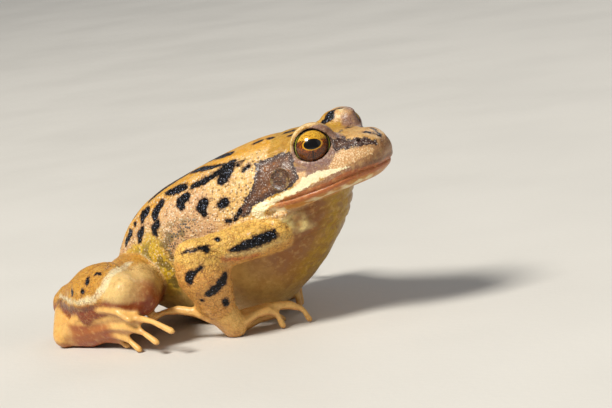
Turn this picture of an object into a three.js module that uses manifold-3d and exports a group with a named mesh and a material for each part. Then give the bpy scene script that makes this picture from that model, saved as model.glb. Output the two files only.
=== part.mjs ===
// Common frog (Rana temporaria), adult, sitting with its forequarters raised on the front legs.
// Millimetres. +X is towards the snout, +Y the frog's left, +Z up, and the floor is z = 0.
import * as THREE from "three";
import Module from "manifold-3d";
import { LoftGeometry } from "three/addons/geometries/LoftGeometry.js";
import { mergeVertices } from "three/addons/utils/BufferGeometryUtils.js";

// ---- Driving sizes -------------------------------------------------------------------------

const JOINT_GAP = 0.3; // clearance between one piece and the next
const RIGHT = -1; // the frog's right is -Y
const LEFT = 1;

// Head, measured in its own frame: back from the snout tip, out to the side, up from the mouth line.
const SNOUT_TIP = { x: 33, z: 28 };
const HEAD_PITCH = 13.4; // degrees the mouth line rises towards the snout
const HEAD_ROLL = 4; // degrees the head leans over to its right
const HEAD_LENGTH = 25;
const HEAD_HALF_WIDTH = 11.6;
const SNOUT_TAPER_LENGTH = 22; // the head reaches its full width this far back
const CROWN_AT_SNOUT = 6.1; // height of the head above the mouth line, at the snout
const CROWN_RISE = 0.27; // and how much it gains for each millimetre back
const CROWN_DOME = { tall: 0.8, back: 14.5, reach: 5 }; // added height between and behind the eyes
const SNOUT_ROUND = 3.1; // the length over which the snout rounds up to that height
const LIP_RISE = 2.6; // how far above the mouth line the snout is foremost and widest
const LIP_RISE_LENGTH = 11; // which comes down to the mouth line this far back
const SNOUT_START_RISE = 1.6; // how far above the mouth line the snout's first ring lies
const NAPE_START = 16; // the head starts to close this far back
const NAPE_OVERRUN = 0.4; // and the closing curve ends this far past the last ring
const NAPE_LEFT = { wide: 0.28, crown: 0.35, jaw: 0.4 }; // the shares of its size left at the end
const HEAD_RINGS = 12;
const HEAD_SIDES = 20;
const FIRST_RING_BACK = 0.12;
const RING_CROWDING = 1.55; // above 1 the rings crowd towards the snout
// Powers of the curves that widen the head behind the snout and close it at the nape.
const HEAD_CURVES = { taper: 2.2, width: 0.6, nape: 3.2, lip: 1.5 };
// Powers of the outline of each ring, across and up; below 1 it is boxier than an ellipse.
const RING_CURVES = { outAbove: 0.86, outBelow: 0.74, above: 1.02, below: 0.9 };
const CROWN_OVER_LIP = 0.3; // the widest line stays at least this far below the crown
const SNOUT_JAW_SHARE = 0.3; // the share of the jaw's depth at the snout
const CHIN_LENGTH = 12; // the jaw is set back less and less up to here
const CHIN_DEPTH = 1.4;
const JAW_DEPTH = 2.1; // at the corner of the mouth
const CHIN_SET_BACK = 2.2; // the lower jaw stops this far short of the snout
const MOUTH_BACK = 21.5; // the corner of the mouth
const EYE = { back: 10.9, out: 6.1, up: 7.5, radius: 3.3 };
const BROW = { back: 11.3, out: 5.0, up: 7.8, long: 4.5, wide: 3.0, tall: 3.9 };
const LEFT_EYE_RISE = 0.6; // the left eye stands a little higher than the right
const EARDRUM = { back: 17.0, out: 10.5, up: 4.3, radius: 1.9, thick: 1.0 };
const EARDRUM_FACING = { forward: 0.16, up: 0.3 }; // for each part that it faces out
const NOSTRIL = { back: 3.4, out: 3.6, up: 5.7, radius: 0.5, stretch: 1.3 };

// Trunk, along a straight axis from the vent up to the nape.
const VENT = { x: -28, z: 8.5 };
const NAPE = { x: 20, z: 28 };
// Each station: how far along the axis, and the body's half width, back height and belly depth there.
const TRUNK_STATIONS = [
  { name: "vent", along: 0, wide: 1.2, back: 1.0, belly: 1.2 },
  { name: "rump", along: 2.2, wide: 5.0, back: 4.7, belly: 4.6 },
  { name: "hips", along: 8, wide: 8.4, back: 8.8, belly: 11.0 },
  { name: "loins", along: 16, wide: 11.0, back: 11.1, belly: 16.8 },
  { name: "belly", along: 26, wide: 13.4, back: 11.3, belly: 18.6 },
  { name: "ribs", along: 34, wide: 13.2, back: 11.1, belly: 17.2 },
  { name: "shoulders", along: 42, wide: 11.6, back: 10.3, belly: 13.6 },
  { name: "throat", along: 48.5, wide: 9.4, back: 8.1, belly: 9.4 },
  { name: "chin", along: 53.8, wide: 3.0, back: 2.6, belly: 3.6 },
];

// Front leg: joints as forward (x), out from the midline, and height.
const LEFT_FORELEG_SET_BACK = 6; // the left foreleg stands a little further back
const LEFT_HAND_TURN = 6; // degrees its three inner fingers are turned in under the chest
const SHOULDER = { x: 12.5, out: 10.0, z: 17.4 };
const ELBOW = { x: 1.8, out: 20.2, z: 16.2 };
const WRIST = { x: 2.2, out: 16.4, z: 6.6 };
const PALM = { x: 4.0, out: 14.2, z: 1.6 };
const UPPER_ARM_RADIUS = 3.5;
const FOREARM_HALF_WIDTH = 4.1;
const FOREARM_HALF_THICKNESS = 3.1;
const WRIST_RADIUS = 2.3;
const PALM_RADIUS = 2.0;
const FINGER_RADIUS = 1.1;
const FINGER_TIP_RADIUS = 0.62;
// From the innermost finger to the outermost, which lies back along the flank.
const FINGERS = [
  {
    root: { x: 4.2, out: 12.0, z: 1.4 },
    knuckle: { x: 7.6, out: 5.4, z: 2.8 },
    tip: { x: 7.8, out: 4.0, z: 0.5 },
  },
  {
    root: { x: 5.2, out: 12.6, z: 3.6 },
    knuckle: { x: 13.4, out: 5.4, z: 5.8 },
    tip: { x: 13.8, out: 4.6, z: 0.5 },
  },
  {
    root: { x: 5.4, out: 14.6, z: 2.4 },
    knuckle: { x: 10.4, out: 9.8, z: 6.2 },
    tip: { x: 10.8, out: 9.0, z: 0.5 },
  },
  {
    root: { x: 1.6, out: 16.6, z: 3.8 },
    knuckle: { x: -5.6, out: 18.4, z: 7.8 },
    tip: { x: -10.6, out: 19.0, z: 4.4 },
  },
];

// Hind leg, folded beside the body.
const LEFT_HIND_LEG_SET_BACK = 6;
const HIP = { x: -23.5, out: 6.4, z: 8.6 };
const KNEE = { x: -9.2, out: 23.2, z: 9.6 };
const SHANK_KNEE = { x: -10.8, out: 25.0, z: 10.9 };
const HEEL = { x: -34.5, out: 10.4, z: 5.5 };
const LEFT_HEEL_SHIFT = { x: 3.7, z: 0.3 }; // the left heel is drawn in, and lies lower
const INSTEP = { x: -28.8, out: 21.2, z: 2.1 };
const THIGH_RADIUS = 6.0;
const KNEE_RADIUS = 4.2;
const CALF_SWELL = 3.1; // how much the calf muscle adds to the shank's radius
const ANKLE_RADIUS = 4.0;
const TARSUS_RADIUS = 2.4;
const METATARSAL_RADIUS = 1.1;
const TOE_RADIUS = 0.95;
const TOE_TIP_RADIUS = 0.6;
const WEB_THICKNESS = 0.6;
// From the innermost toe to the outermost, which rides highest; the fourth is the longest.
const TOES = [
  {
    root: { x: -21.6, out: 21.8, z: 1.2 },
    knuckle: { x: -17.0, out: 22.4, z: 2.6 },
    tip: { x: -14.0, out: 22.6, z: 0.5 },
  },
  {
    root: { x: -20.8, out: 22.8, z: 2.2 },
    knuckle: { x: -13.4, out: 24.6, z: 4.4 },
    tip: { x: -9.4, out: 25.4, z: 0.5 },
  },
  {
    root: { x: -20.4, out: 23.6, z: 3.6 },
    knuckle: { x: -9.4, out: 26.4, z: 6.6 },
    tip: { x: -3.8, out: 27.6, z: 2.4 },
  },
  {
    root: { x: -20.6, out: 24.0, z: 5.2 },
    knuckle: { x: -8.0, out: 27.0, z: 8.8 },
    tip: { x: 0.4, out: 28.4, z: 4.6 },
  },
  {
    root: { x: -21.4, out: 24.2, z: 6.8 },
    knuckle: { x: -14.6, out: 27.0, z: 9.8 },
    tip: { x: -8.6, out: 28.0, z: 6.6 },
  },
];

// ---- Solid geometry helpers ----------------------------------------------------------------

const wasm = await Module();
wasm.setup();

const UP = new THREE.Vector3(0, 0, 1);

function solidOf(geometry) {
  const bare = new THREE.BufferGeometry();
  bare.setAttribute("position", geometry.getAttribute("position"));
  bare.setIndex(geometry.getIndex());
  const merged = mergeVertices(bare, 1e-4);
  const mesh = new wasm.Mesh({
    numProp: 3,
    vertProperties: merged.attributes.position.array,
    triVerts: new Uint32Array(merged.index.array),
  });
  return new wasm.Manifold(mesh);
}

function geometryOf(solid) {
  const mesh = solid.getMesh();
  const geometry = new THREE.BufferGeometry();
  geometry.setAttribute("position", new THREE.BufferAttribute(mesh.vertProperties, 3));
  geometry.setIndex(new THREE.BufferAttribute(mesh.triVerts, 1));
  geometry.computeVertexNormals();
  return geometry;
}

function smoothStep(t) {
  const c = THREE.MathUtils.clamp(t, 0, 1);
  return c * c * (3 - 2 * c);
}

// A power that keeps the sign, for squarer or more pointed cross sections.
function signedPower(value, power) {
  return Math.sign(value) * Math.abs(value) ** power;
}

// The point of a joint or tip on one side of the body.
function onSide(joint, side, leftSetBack = 0) {
  const x = side === LEFT ? joint.x - leftSetBack : joint.x;
  return new THREE.Vector3(x, side * joint.out, joint.z);
}

function onForeleg(joint, side) {
  return onSide(joint, side, LEFT_FORELEG_SET_BACK);
}

function onHindLeg(joint, side) {
  return onSide(joint, side, LEFT_HIND_LEG_SET_BACK);
}

function heel(side) {
  const place = onHindLeg(HEEL, side);
  if (side === LEFT) place.add(new THREE.Vector3(LEFT_HEEL_SHIFT.x, 0, LEFT_HEEL_SHIFT.z));
  return place;
}

// A closed tube along curve(t), with round ends. size(t) gives its half width and half height.
function tube(curve, size, { rings = 5, sides = 10, ends = 2, grow = 0, up = UP } = {}) {
  const stops = [];
  for (let i = ends; i >= 1; i--) {
    stops.push({ t: 0, turn: -(i / (ends + 0.35)) * (Math.PI / 2) });
  }
  for (let i = 0; i <= rings; i++) {
    stops.push({ t: i / rings, turn: 0 });
  }
  for (let i = 1; i <= ends; i++) {
    stops.push({ t: 1, turn: (i / (ends + 0.35)) * (Math.PI / 2) });
  }
  const sections = stops.map(({ t, turn }) => {
    const ahead = curve(Math.min(t + 0.01, 1));
    const behind = curve(Math.max(t - 0.01, 0));
    const along = ahead.sub(behind).normalize();
    const across = new THREE.Vector3().crossVectors(up, along).normalize();
    const lift = new THREE.Vector3().crossVectors(along, across);
    const half = size(t);
    const wide = half.wide + grow;
    const tall = half.tall + grow;
    const reach = Math.min(wide, tall) * Math.sin(turn);
    const centre = curve(t).addScaledVector(along, reach);
    const ring = [];
    for (let j = 0; j < sides; j++) {
      const angle = (j / sides) * 2 * Math.PI;
      const point = centre.clone();
      point.addScaledVector(across, wide * Math.cos(turn) * Math.cos(angle));
      point.addScaledVector(lift, tall * Math.cos(turn) * Math.sin(angle));
      ring.push(point);
    }
    return ring;
  });
  return solidOf(new LoftGeometry(sections, { closed: true, capStart: true, capEnd: true }));
}

// A straight muscle from start to end, thickest part way along.
function muscle(start, end, { startRadius, endRadius, swell, swellAt = 0.4, flat = 1, ...options }) {
  const curve = (t) => start.clone().lerp(end, t);
  const size = (t) => {
    const taper = THREE.MathUtils.lerp(startRadius, endRadius, t);
    const phase = t < swellAt ? t / swellAt : (1 - t) / (1 - swellAt);
    const radius = taper + swell * smoothStep(phase);
    return { wide: radius, tall: radius * flat };
  };
  return tube(curve, size, options);
}

// A finger or toe that arches from its root over the knuckle to the tip.
function digitCurve(root, knuckle, tip) {
  const bend = new THREE.QuadraticBezierCurve3(root, knuckle, tip);
  return (t) => bend.getPoint(t);
}

function digit(root, knuckle, tip, { radius, tipRadius, grow = 0 }) {
  const size = (t) => {
    const taper = THREE.MathUtils.lerp(radius, tipRadius, smoothStep(t * 1.15));
    const joints = 0.1 * Math.cos(t * 4 * Math.PI);
    const thick = taper * (1 + joints);
    return { wide: thick, tall: thick };
  };
  return tube(digitCurve(root, knuckle, tip), size, { rings: 4, sides: 6, ends: 1, grow });
}

function ellipsoid(radii, centre, turn = null, detail = [20, 14]) {
  const geometry = new THREE.SphereGeometry(1, detail[0], detail[1]);
  geometry.scale(radii.x, radii.y, radii.z);
  if (turn) geometry.applyQuaternion(turn);
  geometry.translate(centre.x, centre.y, centre.z);
  return solidOf(geometry);
}

// The part of a solid that stands on the floor is cut flat there.
function onFloor(solid) {
  const slab = new THREE.BoxGeometry(200, 200, 20);
  slab.translate(0, 0, -10);
  return solid.subtract(solidOf(slab));
}

// ---- Head ----------------------------------------------------------------------------------

const headTurn = new THREE.Quaternion().setFromEuler(
  new THREE.Euler(THREE.MathUtils.degToRad(HEAD_ROLL), THREE.MathUtils.degToRad(-HEAD_PITCH), 0, "YXZ"),
);

// A point of the head from its distance behind the snout tip, out to the side, and above the mouth line.
function headPoint(back, out, up) {
  const point = new THREE.Vector3(-back, out, up).applyQuaternion(headTurn);
  return point.add(new THREE.Vector3(SNOUT_TIP.x, 0, SNOUT_TIP.z));
}

function headHalfWidth(back) {
  const reach = Math.max(0, 1 - back / SNOUT_TAPER_LENGTH);
  return HEAD_HALF_WIDTH * (1 - reach ** HEAD_CURVES.taper) ** HEAD_CURVES.width;
}

// How far the crown has closed down towards the nape: 1 ahead of where it starts, 0 at the end.
function napeShare(back) {
  const rear = Math.max(0, (back - NAPE_START) / (HEAD_LENGTH + NAPE_OVERRUN - NAPE_START));
  return Math.sqrt(Math.max(0, 1 - rear ** HEAD_CURVES.nape));
}

// What is left of a size where the head has closed by that share.
function closing(left, close) {
  return left + (1 - left) * close;
}

function crownHeight(back) {
  const dome = CROWN_DOME.tall * Math.exp(-(((back - CROWN_DOME.back) / CROWN_DOME.reach) ** 2));
  return CROWN_AT_SNOUT + CROWN_RISE * back + dome;
}

// The whole head, both jaws in one, rounded at the snout and behind.
function headShape(grow = 0) {
  const sections = [];
  for (let i = HEAD_RINGS; i >= 0; i--) {
    const share = i / HEAD_RINGS;
    const back = FIRST_RING_BACK + (HEAD_LENGTH - FIRST_RING_BACK) * share ** RING_CROWDING;
    const nose = Math.min(1, back / SNOUT_ROUND);
    const close = napeShare(back);
    const round = Math.sqrt(1 - (1 - nose) ** 2);
    const wide = headHalfWidth(back) * closing(NAPE_LEFT.wide, close) + grow;
    const crown = crownHeight(back) * round * closing(NAPE_LEFT.crown, close) + grow;
    const depth = THREE.MathUtils.lerp(CHIN_DEPTH, JAW_DEPTH, share);
    const jaw = depth * closing(SNOUT_JAW_SHARE, round) * closing(NAPE_LEFT.jaw, close) + grow;
    const setBack = CHIN_SET_BACK * Math.max(0, 1 - back / CHIN_LENGTH);
    const shift = SNOUT_START_RISE * (1 - round);
    const rise = LIP_RISE * Math.max(0, 1 - back / LIP_RISE_LENGTH) ** HEAD_CURVES.lip;
    const widest = Math.min(rise, shift + crown - CROWN_OVER_LIP);
    const ring = [];
    for (let j = 0; j < HEAD_SIDES; j++) {
      const angle = (j / HEAD_SIDES) * 2 * Math.PI;
      const up = Math.sin(angle);
      const across = up > 0 ? RING_CURVES.outAbove : RING_CURVES.outBelow;
      const out = wide * signedPower(Math.cos(angle), across);
      const above = (shift + crown - widest) * signedPower(up, RING_CURVES.above);
      const below = (widest - shift + jaw) * signedPower(up, RING_CURVES.below);
      const height = widest + (up > 0 ? above : below);
      const stretch = i === 0 ? -grow : i === HEAD_RINGS ? grow : 0;
      const recede = setBack * Math.max(0, -up);
      ring.push(headPoint(back + stretch + recede, out, height));
    }
    sections.push(ring);
  }
  return solidOf(new LoftGeometry(sections, { closed: true, capStart: true, capEnd: true }));
}

function eyeRise(side) {
  return side === LEFT ? LEFT_EYE_RISE : 0;
}

function brow(side) {
  const radii = { x: BROW.long, y: BROW.wide, z: BROW.tall };
  const centre = headPoint(BROW.back, side * BROW.out, BROW.up + eyeRise(side));
  return ellipsoid(radii, centre, headTurn, [12, 7]);
}

function eyeball(side, grow = 0, detail = [12, 8]) {
  const r = EYE.radius + grow;
  const centre = headPoint(EYE.back, side * EYE.out, EYE.up + eyeRise(side));
  return ellipsoid({ x: r, y: r, z: r }, centre, headTurn, detail);
}

// The round eardrum, a thin disc let into the cheek behind the eye, facing out and a little forward.
function eardrum(side, grow = 0) {
  const radius = EARDRUM.radius + grow;
  const disc = new THREE.CylinderGeometry(radius, radius, EARDRUM.thick + 2 * grow, 12);
  const facing = new THREE.Vector3(EARDRUM_FACING.forward, side, EARDRUM_FACING.up).normalize();
  disc.applyQuaternion(new THREE.Quaternion().setFromUnitVectors(new THREE.Vector3(0, 1, 0), facing));
  const centre = headPoint(EARDRUM.back, side * EARDRUM.out, EARDRUM.up);
  centre.addScaledVector(facing, -EARDRUM.thick / 2);
  disc.translate(centre.x, centre.y, centre.z);
  return solidOf(disc);
}

function nostril(side) {
  const radii = { x: NOSTRIL.radius * NOSTRIL.stretch, y: NOSTRIL.radius, z: NOSTRIL.radius };
  return ellipsoid(radii, headPoint(NOSTRIL.back, side * NOSTRIL.out, NOSTRIL.up), headTurn, [6, 4]);
}

// The slot that parts the jaws: everything of the lower jaw lies below it and ahead of the hinge.
function jawRegion(grow) {
  const block = new THREE.BoxGeometry(MOUTH_BACK + 6 + grow, 40, 12);
  block.translate((MOUTH_BACK + 6 + grow) / 2 - MOUTH_BACK - grow, 0, -6 + grow);
  block.applyQuaternion(headTurn);
  block.translate(SNOUT_TIP.x, 0, SNOUT_TIP.z);
  return solidOf(block);
}

// ---- Trunk ---------------------------------------------------------------------------------

// Smooth value of one size of the trunk between its stations.
function trunkSize(key, along) {
  const last = TRUNK_STATIONS.length - 1;
  let i = 0;
  while (i < last - 1 && along > TRUNK_STATIONS[i + 1].along) i++;
  const p = [i - 1, i, i + 1, i + 2].map((k) => TRUNK_STATIONS[THREE.MathUtils.clamp(k, 0, last)]);
  const t = (along - p[1].along) / (p[2].along - p[1].along);
  const slope = (a, b) => (b[key] - a[key]) / Math.max(b.along - a.along, 1e-6);
  const span = p[2].along - p[1].along;
  const m1 = i === 0 ? slope(p[1], p[2]) * span : slope(p[0], p[2]) * span;
  const m2 = i === last - 1 ? slope(p[1], p[2]) * span : slope(p[1], p[3]) * span;
  const t2 = t * t;
  const t3 = t2 * t;
  const fromValues = (2 * t3 - 3 * t2 + 1) * p[1][key] + (3 * t2 - 2 * t3) * p[2][key];
  const fromSlopes = (t3 - 2 * t2 + t) * m1 + (t3 - t2) * m2;
  return fromValues + fromSlopes;
}

function trunkShape(grow = 0) {
  const axis = new THREE.Vector3(NAPE.x - VENT.x, 0, NAPE.z - VENT.z).normalize();
  const across = new THREE.Vector3().crossVectors(UP, axis).normalize();
  const lift = new THREE.Vector3().crossVectors(axis, across);
  const length = TRUNK_STATIONS[TRUNK_STATIONS.length - 1].along;
  const rings = 13;
  const sides = 20;
  const sections = [];
  for (let i = 0; i <= rings; i++) {
    const share = 0.5 - 0.5 * Math.cos((Math.PI * i) / rings);
    const along = length * THREE.MathUtils.lerp(i / rings, share, 0.75);
    const wide = trunkSize("wide", along) + grow;
    const back = trunkSize("back", along) + grow;
    const belly = trunkSize("belly", along) + grow;
    const stretch = i === 0 ? -grow : i === rings ? grow : 0;
    const centre = new THREE.Vector3(VENT.x, 0, VENT.z).addScaledVector(axis, along + stretch);
    const ring = [];
    for (let j = 0; j < sides; j++) {
      const angle = (j / sides) * 2 * Math.PI;
      const up = Math.sin(angle);
      const out = wide * signedPower(Math.cos(angle), up > 0 ? 0.8 : 0.9);
      const height = up > 0 ? back * signedPower(up, 0.95) : belly * up;
      const point = centre.clone();
      point.addScaledVector(across, out);
      point.addScaledVector(lift, height);
      ring.push(point);
    }
    sections.push(ring);
  }
  return solidOf(new LoftGeometry(sections, { closed: true, capStart: true, capEnd: true }));
}

// ---- Front leg -----------------------------------------------------------------------------

function upperArm(side, grow = 0) {
  return muscle(onSide(SHOULDER, side), onForeleg(ELBOW, side), {
    startRadius: UPPER_ARM_RADIUS * 0.9,
    endRadius: UPPER_ARM_RADIUS * 0.85,
    swell: UPPER_ARM_RADIUS * 0.15,
    rings: 4,
    grow,
  });
}

function forearm(side, grow = 0) {
  return muscle(onForeleg(ELBOW, side), onForeleg(WRIST, side), {
    startRadius: FOREARM_HALF_WIDTH * 0.8,
    endRadius: WRIST_RADIUS * 1.3,
    swell: FOREARM_HALF_WIDTH * 0.25,
    swellAt: 0.35,
    flat: FOREARM_HALF_WIDTH / FOREARM_HALF_THICKNESS,
    up: new THREE.Vector3(1, 0, 0),
    grow,
  });
}

function hand(side, grow = 0) {
  return muscle(onForeleg(WRIST, side), onForeleg(PALM, side), {
    startRadius: WRIST_RADIUS,
    endRadius: PALM_RADIUS,
    swell: 0.3,
    rings: 2,
    flat: 1.25,
    up: new THREE.Vector3(1, 0, 0),
    grow,
  });
}

// A point of a finger. The left hand's inner fingers are turned about the palm.
function onFinger(joint, index, side) {
  const place = onForeleg(joint, side);
  if (side !== LEFT || index === FINGERS.length - 1) return place;
  const palm = onForeleg(PALM, side);
  const turn = THREE.MathUtils.degToRad(-LEFT_HAND_TURN);
  return place.sub(palm).applyAxisAngle(UP, turn).add(palm);
}

function finger(index, side, grow = 0) {
  const { root, knuckle, tip } = FINGERS[index];
  const ends = [root, knuckle, tip].map((joint) => onFinger(joint, index, side));
  return digit(...ends, { radius: FINGER_RADIUS, tipRadius: FINGER_TIP_RADIUS, grow });
}

// ---- Hind leg ------------------------------------------------------------------------------

function thigh(side, grow = 0) {
  return muscle(onSide(HIP, side), onHindLeg(KNEE, side), {
    startRadius: THIGH_RADIUS * 0.9,
    endRadius: KNEE_RADIUS * 0.85,
    swell: THIGH_RADIUS * 0.18,
    swellAt: 0.3,
    rings: 6,
    grow,
  });
}

function shank(side, grow = 0) {
  return muscle(onHindLeg(SHANK_KNEE, side), heel(side), {
    startRadius: KNEE_RADIUS * 0.8,
    endRadius: ANKLE_RADIUS,
    swell: CALF_SWELL,
    swellAt: 0.35,
    rings: 6,
    grow,
  });
}

function tarsus(side, grow = 0) {
  return muscle(heel(side), onHindLeg(INSTEP, side), {
    startRadius: ANKLE_RADIUS * 0.8,
    endRadius: TARSUS_RADIUS,
    swell: 0.2,
    rings: 3,
    grow,
  });
}

function toe(index, side, grow = 0) {
  const { root, knuckle, tip } = TOES[index];
  const size = { radius: TOE_RADIUS, tipRadius: TOE_TIP_RADIUS, grow };
  return digit(onHindLeg(root, side), onHindLeg(knuckle, side), onHindLeg(tip, side), size);
}

// The sole: one rounded bar from the instep to the root of each toe.
function footBody(side, grow = 0) {
  const start = onHindLeg(INSTEP, side);
  let body = null;
  for (const { root } of TOES) {
    const bar = muscle(start, onHindLeg(root, side), {
      startRadius: TARSUS_RADIUS * 0.85,
      endRadius: METATARSAL_RADIUS,
      swell: 0,
      rings: 1,
      sides: 6,
      ends: 1,
      grow,
    });
    body = body ? body.add(bar) : bar;
  }
  return body;
}

// The web between a toe and the one inside it, reaching part way along both.
function web(index, side, reach = 0.66) {
  const curves = [TOES[index - 1], TOES[index]].map(({ root, knuckle, tip }) =>
    digitCurve(onHindLeg(root, side), onHindLeg(knuckle, side), onHindLeg(tip, side)),
  );
  const rows = 3;
  const half = WEB_THICKNESS / 2;
  const sections = [];
  for (let i = 0; i <= rows; i++) {
    const t = (reach * i) / rows;
    const inner = curves[0](t);
    const outer = curves[1](t);
    const between = outer.clone().sub(inner).normalize();
    const along = curves[1](t + 0.05).sub(outer).normalize();
    const thick = new THREE.Vector3().crossVectors(along, between).normalize();
    sections.push([
      inner.clone().addScaledVector(thick, -half),
      outer.clone().addScaledVector(thick, -half),
      outer.clone().addScaledVector(thick, half),
      inner.clone().addScaledVector(thick, half),
    ]);
  }
  return solidOf(new LoftGeometry(sections, { closed: true, capStart: true, capEnd: true }));
}

// A toe with the web on its inner side.
function webbedToe(index, side) {
  const bare = toe(index, side);
  if (index === 0) return bare;
  return without(bare.add(web(index, side)), [toe(index - 1, side, JOINT_GAP)]);
}

// ---- Materials -----------------------------------------------------------------------------

function material(colour, roughness = 0.45) {
  return new THREE.MeshStandardMaterial({ color: colour, roughness });
}

const skin = () => material(0xc9a04e);
const limbSkin = () => material(0xc8943f);
const throatSkin = () => material(0xd9bd63);
const eardrumSkin = () => material(0x5d4434);
const eyeSurface = () => material(0xb98a1e, 0.1);

// ---- Assembly ------------------------------------------------------------------------------

const frog = new THREE.Group();

function addNode(name, solid, surface) {
  const mesh = new THREE.Mesh(geometryOf(solid), surface);
  mesh.name = name;
  frog.add(mesh);
}

function without(solid, cutters) {
  return cutters.reduce((rest, cutter) => rest.subtract(cutter), solid);
}

// The largest of the bodies that a cut leaves: the rest of a digit is inside the limb or the belly.
function largest(solid) {
  return solid.decompose().reduce((kept, body) => (body.volume() > kept.volume() ? body : kept));
}

const SIDES = [
  { side: RIGHT, label: "right" },
  { side: LEFT, label: "left" },
];

function buildHead() {
  let skull = headShape();
  for (const { side } of SIDES) skull = skull.add(brow(side));
  const lower = skull.intersect(jawRegion(-JOINT_GAP / 2));
  skull = skull.subtract(jawRegion(JOINT_GAP / 2));
  for (const { side, label } of SIDES) {
    skull = without(skull, [eyeball(side, JOINT_GAP, [10, 6]), eardrum(side, JOINT_GAP), nostril(side)]);
    addNode(`eye_${label}`, eyeball(side), eyeSurface());
    addNode(`tympanum_${label}`, eardrum(side), eardrumSkin());
  }
  addNode("head", skull, skin());
  addNode("lower_jaw", lower, throatSkin());
}

function buildFrontLeg(side, label) {
  const body = trunkShape(JOINT_GAP);
  addNode(`upper_arm_${label}`, without(upperArm(side), [body, forearm(side, JOINT_GAP)]), limbSkin());
  addNode(`forearm_${label}`, without(forearm(side), [body]), limbSkin());
  addNode(`hand_${label}`, onFloor(without(hand(side), [forearm(side, JOINT_GAP), body])), limbSkin());
  FINGERS.forEach((_, index) => {
    const cutters = [forearm(side, JOINT_GAP), hand(side, JOINT_GAP), body];
    if (index > 0) cutters.push(finger(index - 1, side, JOINT_GAP));
    if (index === FINGERS.length - 1) cutters.push(thigh(side, JOINT_GAP), shank(side, JOINT_GAP));
    const shape = largest(without(finger(index, side), cutters));
    addNode(`finger_${label}_${index + 1}`, onFloor(shape), limbSkin());
  });
}

function buildHindLeg(side, label) {
  const body = trunkShape(JOINT_GAP);
  const thighCutter = thigh(side, JOINT_GAP);
  const shankCutter = shank(side, JOINT_GAP);
  const tarsusCutter = tarsus(side, JOINT_GAP);
  const footCutter = footBody(side, JOINT_GAP);
  addNode(`thigh_${label}`, onFloor(without(thigh(side), [body])), limbSkin());
  addNode(`shank_${label}`, onFloor(without(shank(side), [body, thighCutter])), limbSkin());
  addNode(`tarsus_${label}`, onFloor(without(tarsus(side), [body, thighCutter, shankCutter])), limbSkin());
  const foot = without(footBody(side), [body, thighCutter, shankCutter, tarsusCutter]);
  addNode(`foot_${label}`, onFloor(foot), limbSkin());
  TOES.forEach((_, index) => {
    const cutters = [footCutter, shankCutter, thighCutter];
    const shape = largest(without(webbedToe(index, side), cutters));
    addNode(`toe_${label}_${index + 1}`, onFloor(shape), limbSkin());
  });
}

buildHead();
addNode("trunk", onFloor(without(trunkShape(), [headShape(JOINT_GAP)])), skin());
for (const { side, label } of SIDES) {
  buildFrontLeg(side, label);
  buildHindLeg(side, label);
}

// The origin is on the floor, under the middle of the frog's length and width.
const extent = new THREE.Box3().setFromObject(frog);
frog.position.set(-(extent.min.x + extent.max.x) / 2, -(extent.min.y + extent.max.y) / 2, 0);

export default frog;
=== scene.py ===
# Common frog (Rana temporaria): skin, eyes, floor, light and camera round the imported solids.
import math

import bmesh
import bpy
import numpy as np
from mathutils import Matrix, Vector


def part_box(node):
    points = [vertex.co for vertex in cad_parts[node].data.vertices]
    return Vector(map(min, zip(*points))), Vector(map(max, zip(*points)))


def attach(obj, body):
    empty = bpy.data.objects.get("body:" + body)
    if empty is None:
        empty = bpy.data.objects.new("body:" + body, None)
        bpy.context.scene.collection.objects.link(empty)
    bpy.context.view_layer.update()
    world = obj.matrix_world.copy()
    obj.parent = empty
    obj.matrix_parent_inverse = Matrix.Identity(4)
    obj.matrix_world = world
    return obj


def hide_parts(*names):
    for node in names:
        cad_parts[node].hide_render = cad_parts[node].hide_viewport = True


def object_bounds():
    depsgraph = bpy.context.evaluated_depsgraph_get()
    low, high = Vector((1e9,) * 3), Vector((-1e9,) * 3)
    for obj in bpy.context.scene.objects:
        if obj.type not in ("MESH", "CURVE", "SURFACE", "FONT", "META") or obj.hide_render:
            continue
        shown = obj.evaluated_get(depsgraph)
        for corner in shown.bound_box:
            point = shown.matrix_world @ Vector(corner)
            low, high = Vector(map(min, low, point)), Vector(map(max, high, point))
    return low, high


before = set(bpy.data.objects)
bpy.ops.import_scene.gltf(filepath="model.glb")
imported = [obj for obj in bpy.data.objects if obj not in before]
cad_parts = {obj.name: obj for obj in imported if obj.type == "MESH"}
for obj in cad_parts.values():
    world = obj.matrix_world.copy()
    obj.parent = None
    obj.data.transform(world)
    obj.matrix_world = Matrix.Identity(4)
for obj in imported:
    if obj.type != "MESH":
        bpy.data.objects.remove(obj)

import openvdb as vdb
from mathutils import Matrix, Vector
from mathutils.bvhtree import BVHTree

cad_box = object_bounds()

# ---- Driving sizes ----
# Shapes and markings are worked out in millimetres and written to the meshes in metres.

MM = 0.001
VOXEL = 0.25  # mm, spacing of the field that the skin is drawn from
BAND = 3.0  # mm, how far from the solids that field is measured
MARGIN = 1.5  # mm of empty field round the frog
SEED = 7

# The head's frame, as in the solids: back from the snout tip, out to the left, up from the mouth.
HEAD_PITCH = math.radians(13.4)
HEAD_ROLL = math.radians(4)
EYE_PLACE = (10.9, 6.1, 7.5)
EYE_RADIUS = 3.3
SNOUT_TO_VENT = 61.0  # along X
VENT_HEIGHT = 8.5
TRUNK_PITCH = math.atan2(19.5, 48.0)
SIDES = {"right": -1, "left": 1}

FLESH_NODES = [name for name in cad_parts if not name.startswith("eye_")]


# ---- Small helpers ----


def srgb(red, green, blue):
    """A colour given as on a screen, 0 to 255, as the linear RGBA that shaders use."""
    parts = np.array([red, green, blue]) / 255
    linear = np.where(parts <= 0.04045, parts / 12.92, ((parts + 0.055) / 1.055) ** 2.4)
    return (*linear.tolist(), 1.0)


def ramp(low, high, value):
    share = np.clip((value - low) / (high - low), 0, 1)
    return share * share * (3 - 2 * share)


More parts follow.
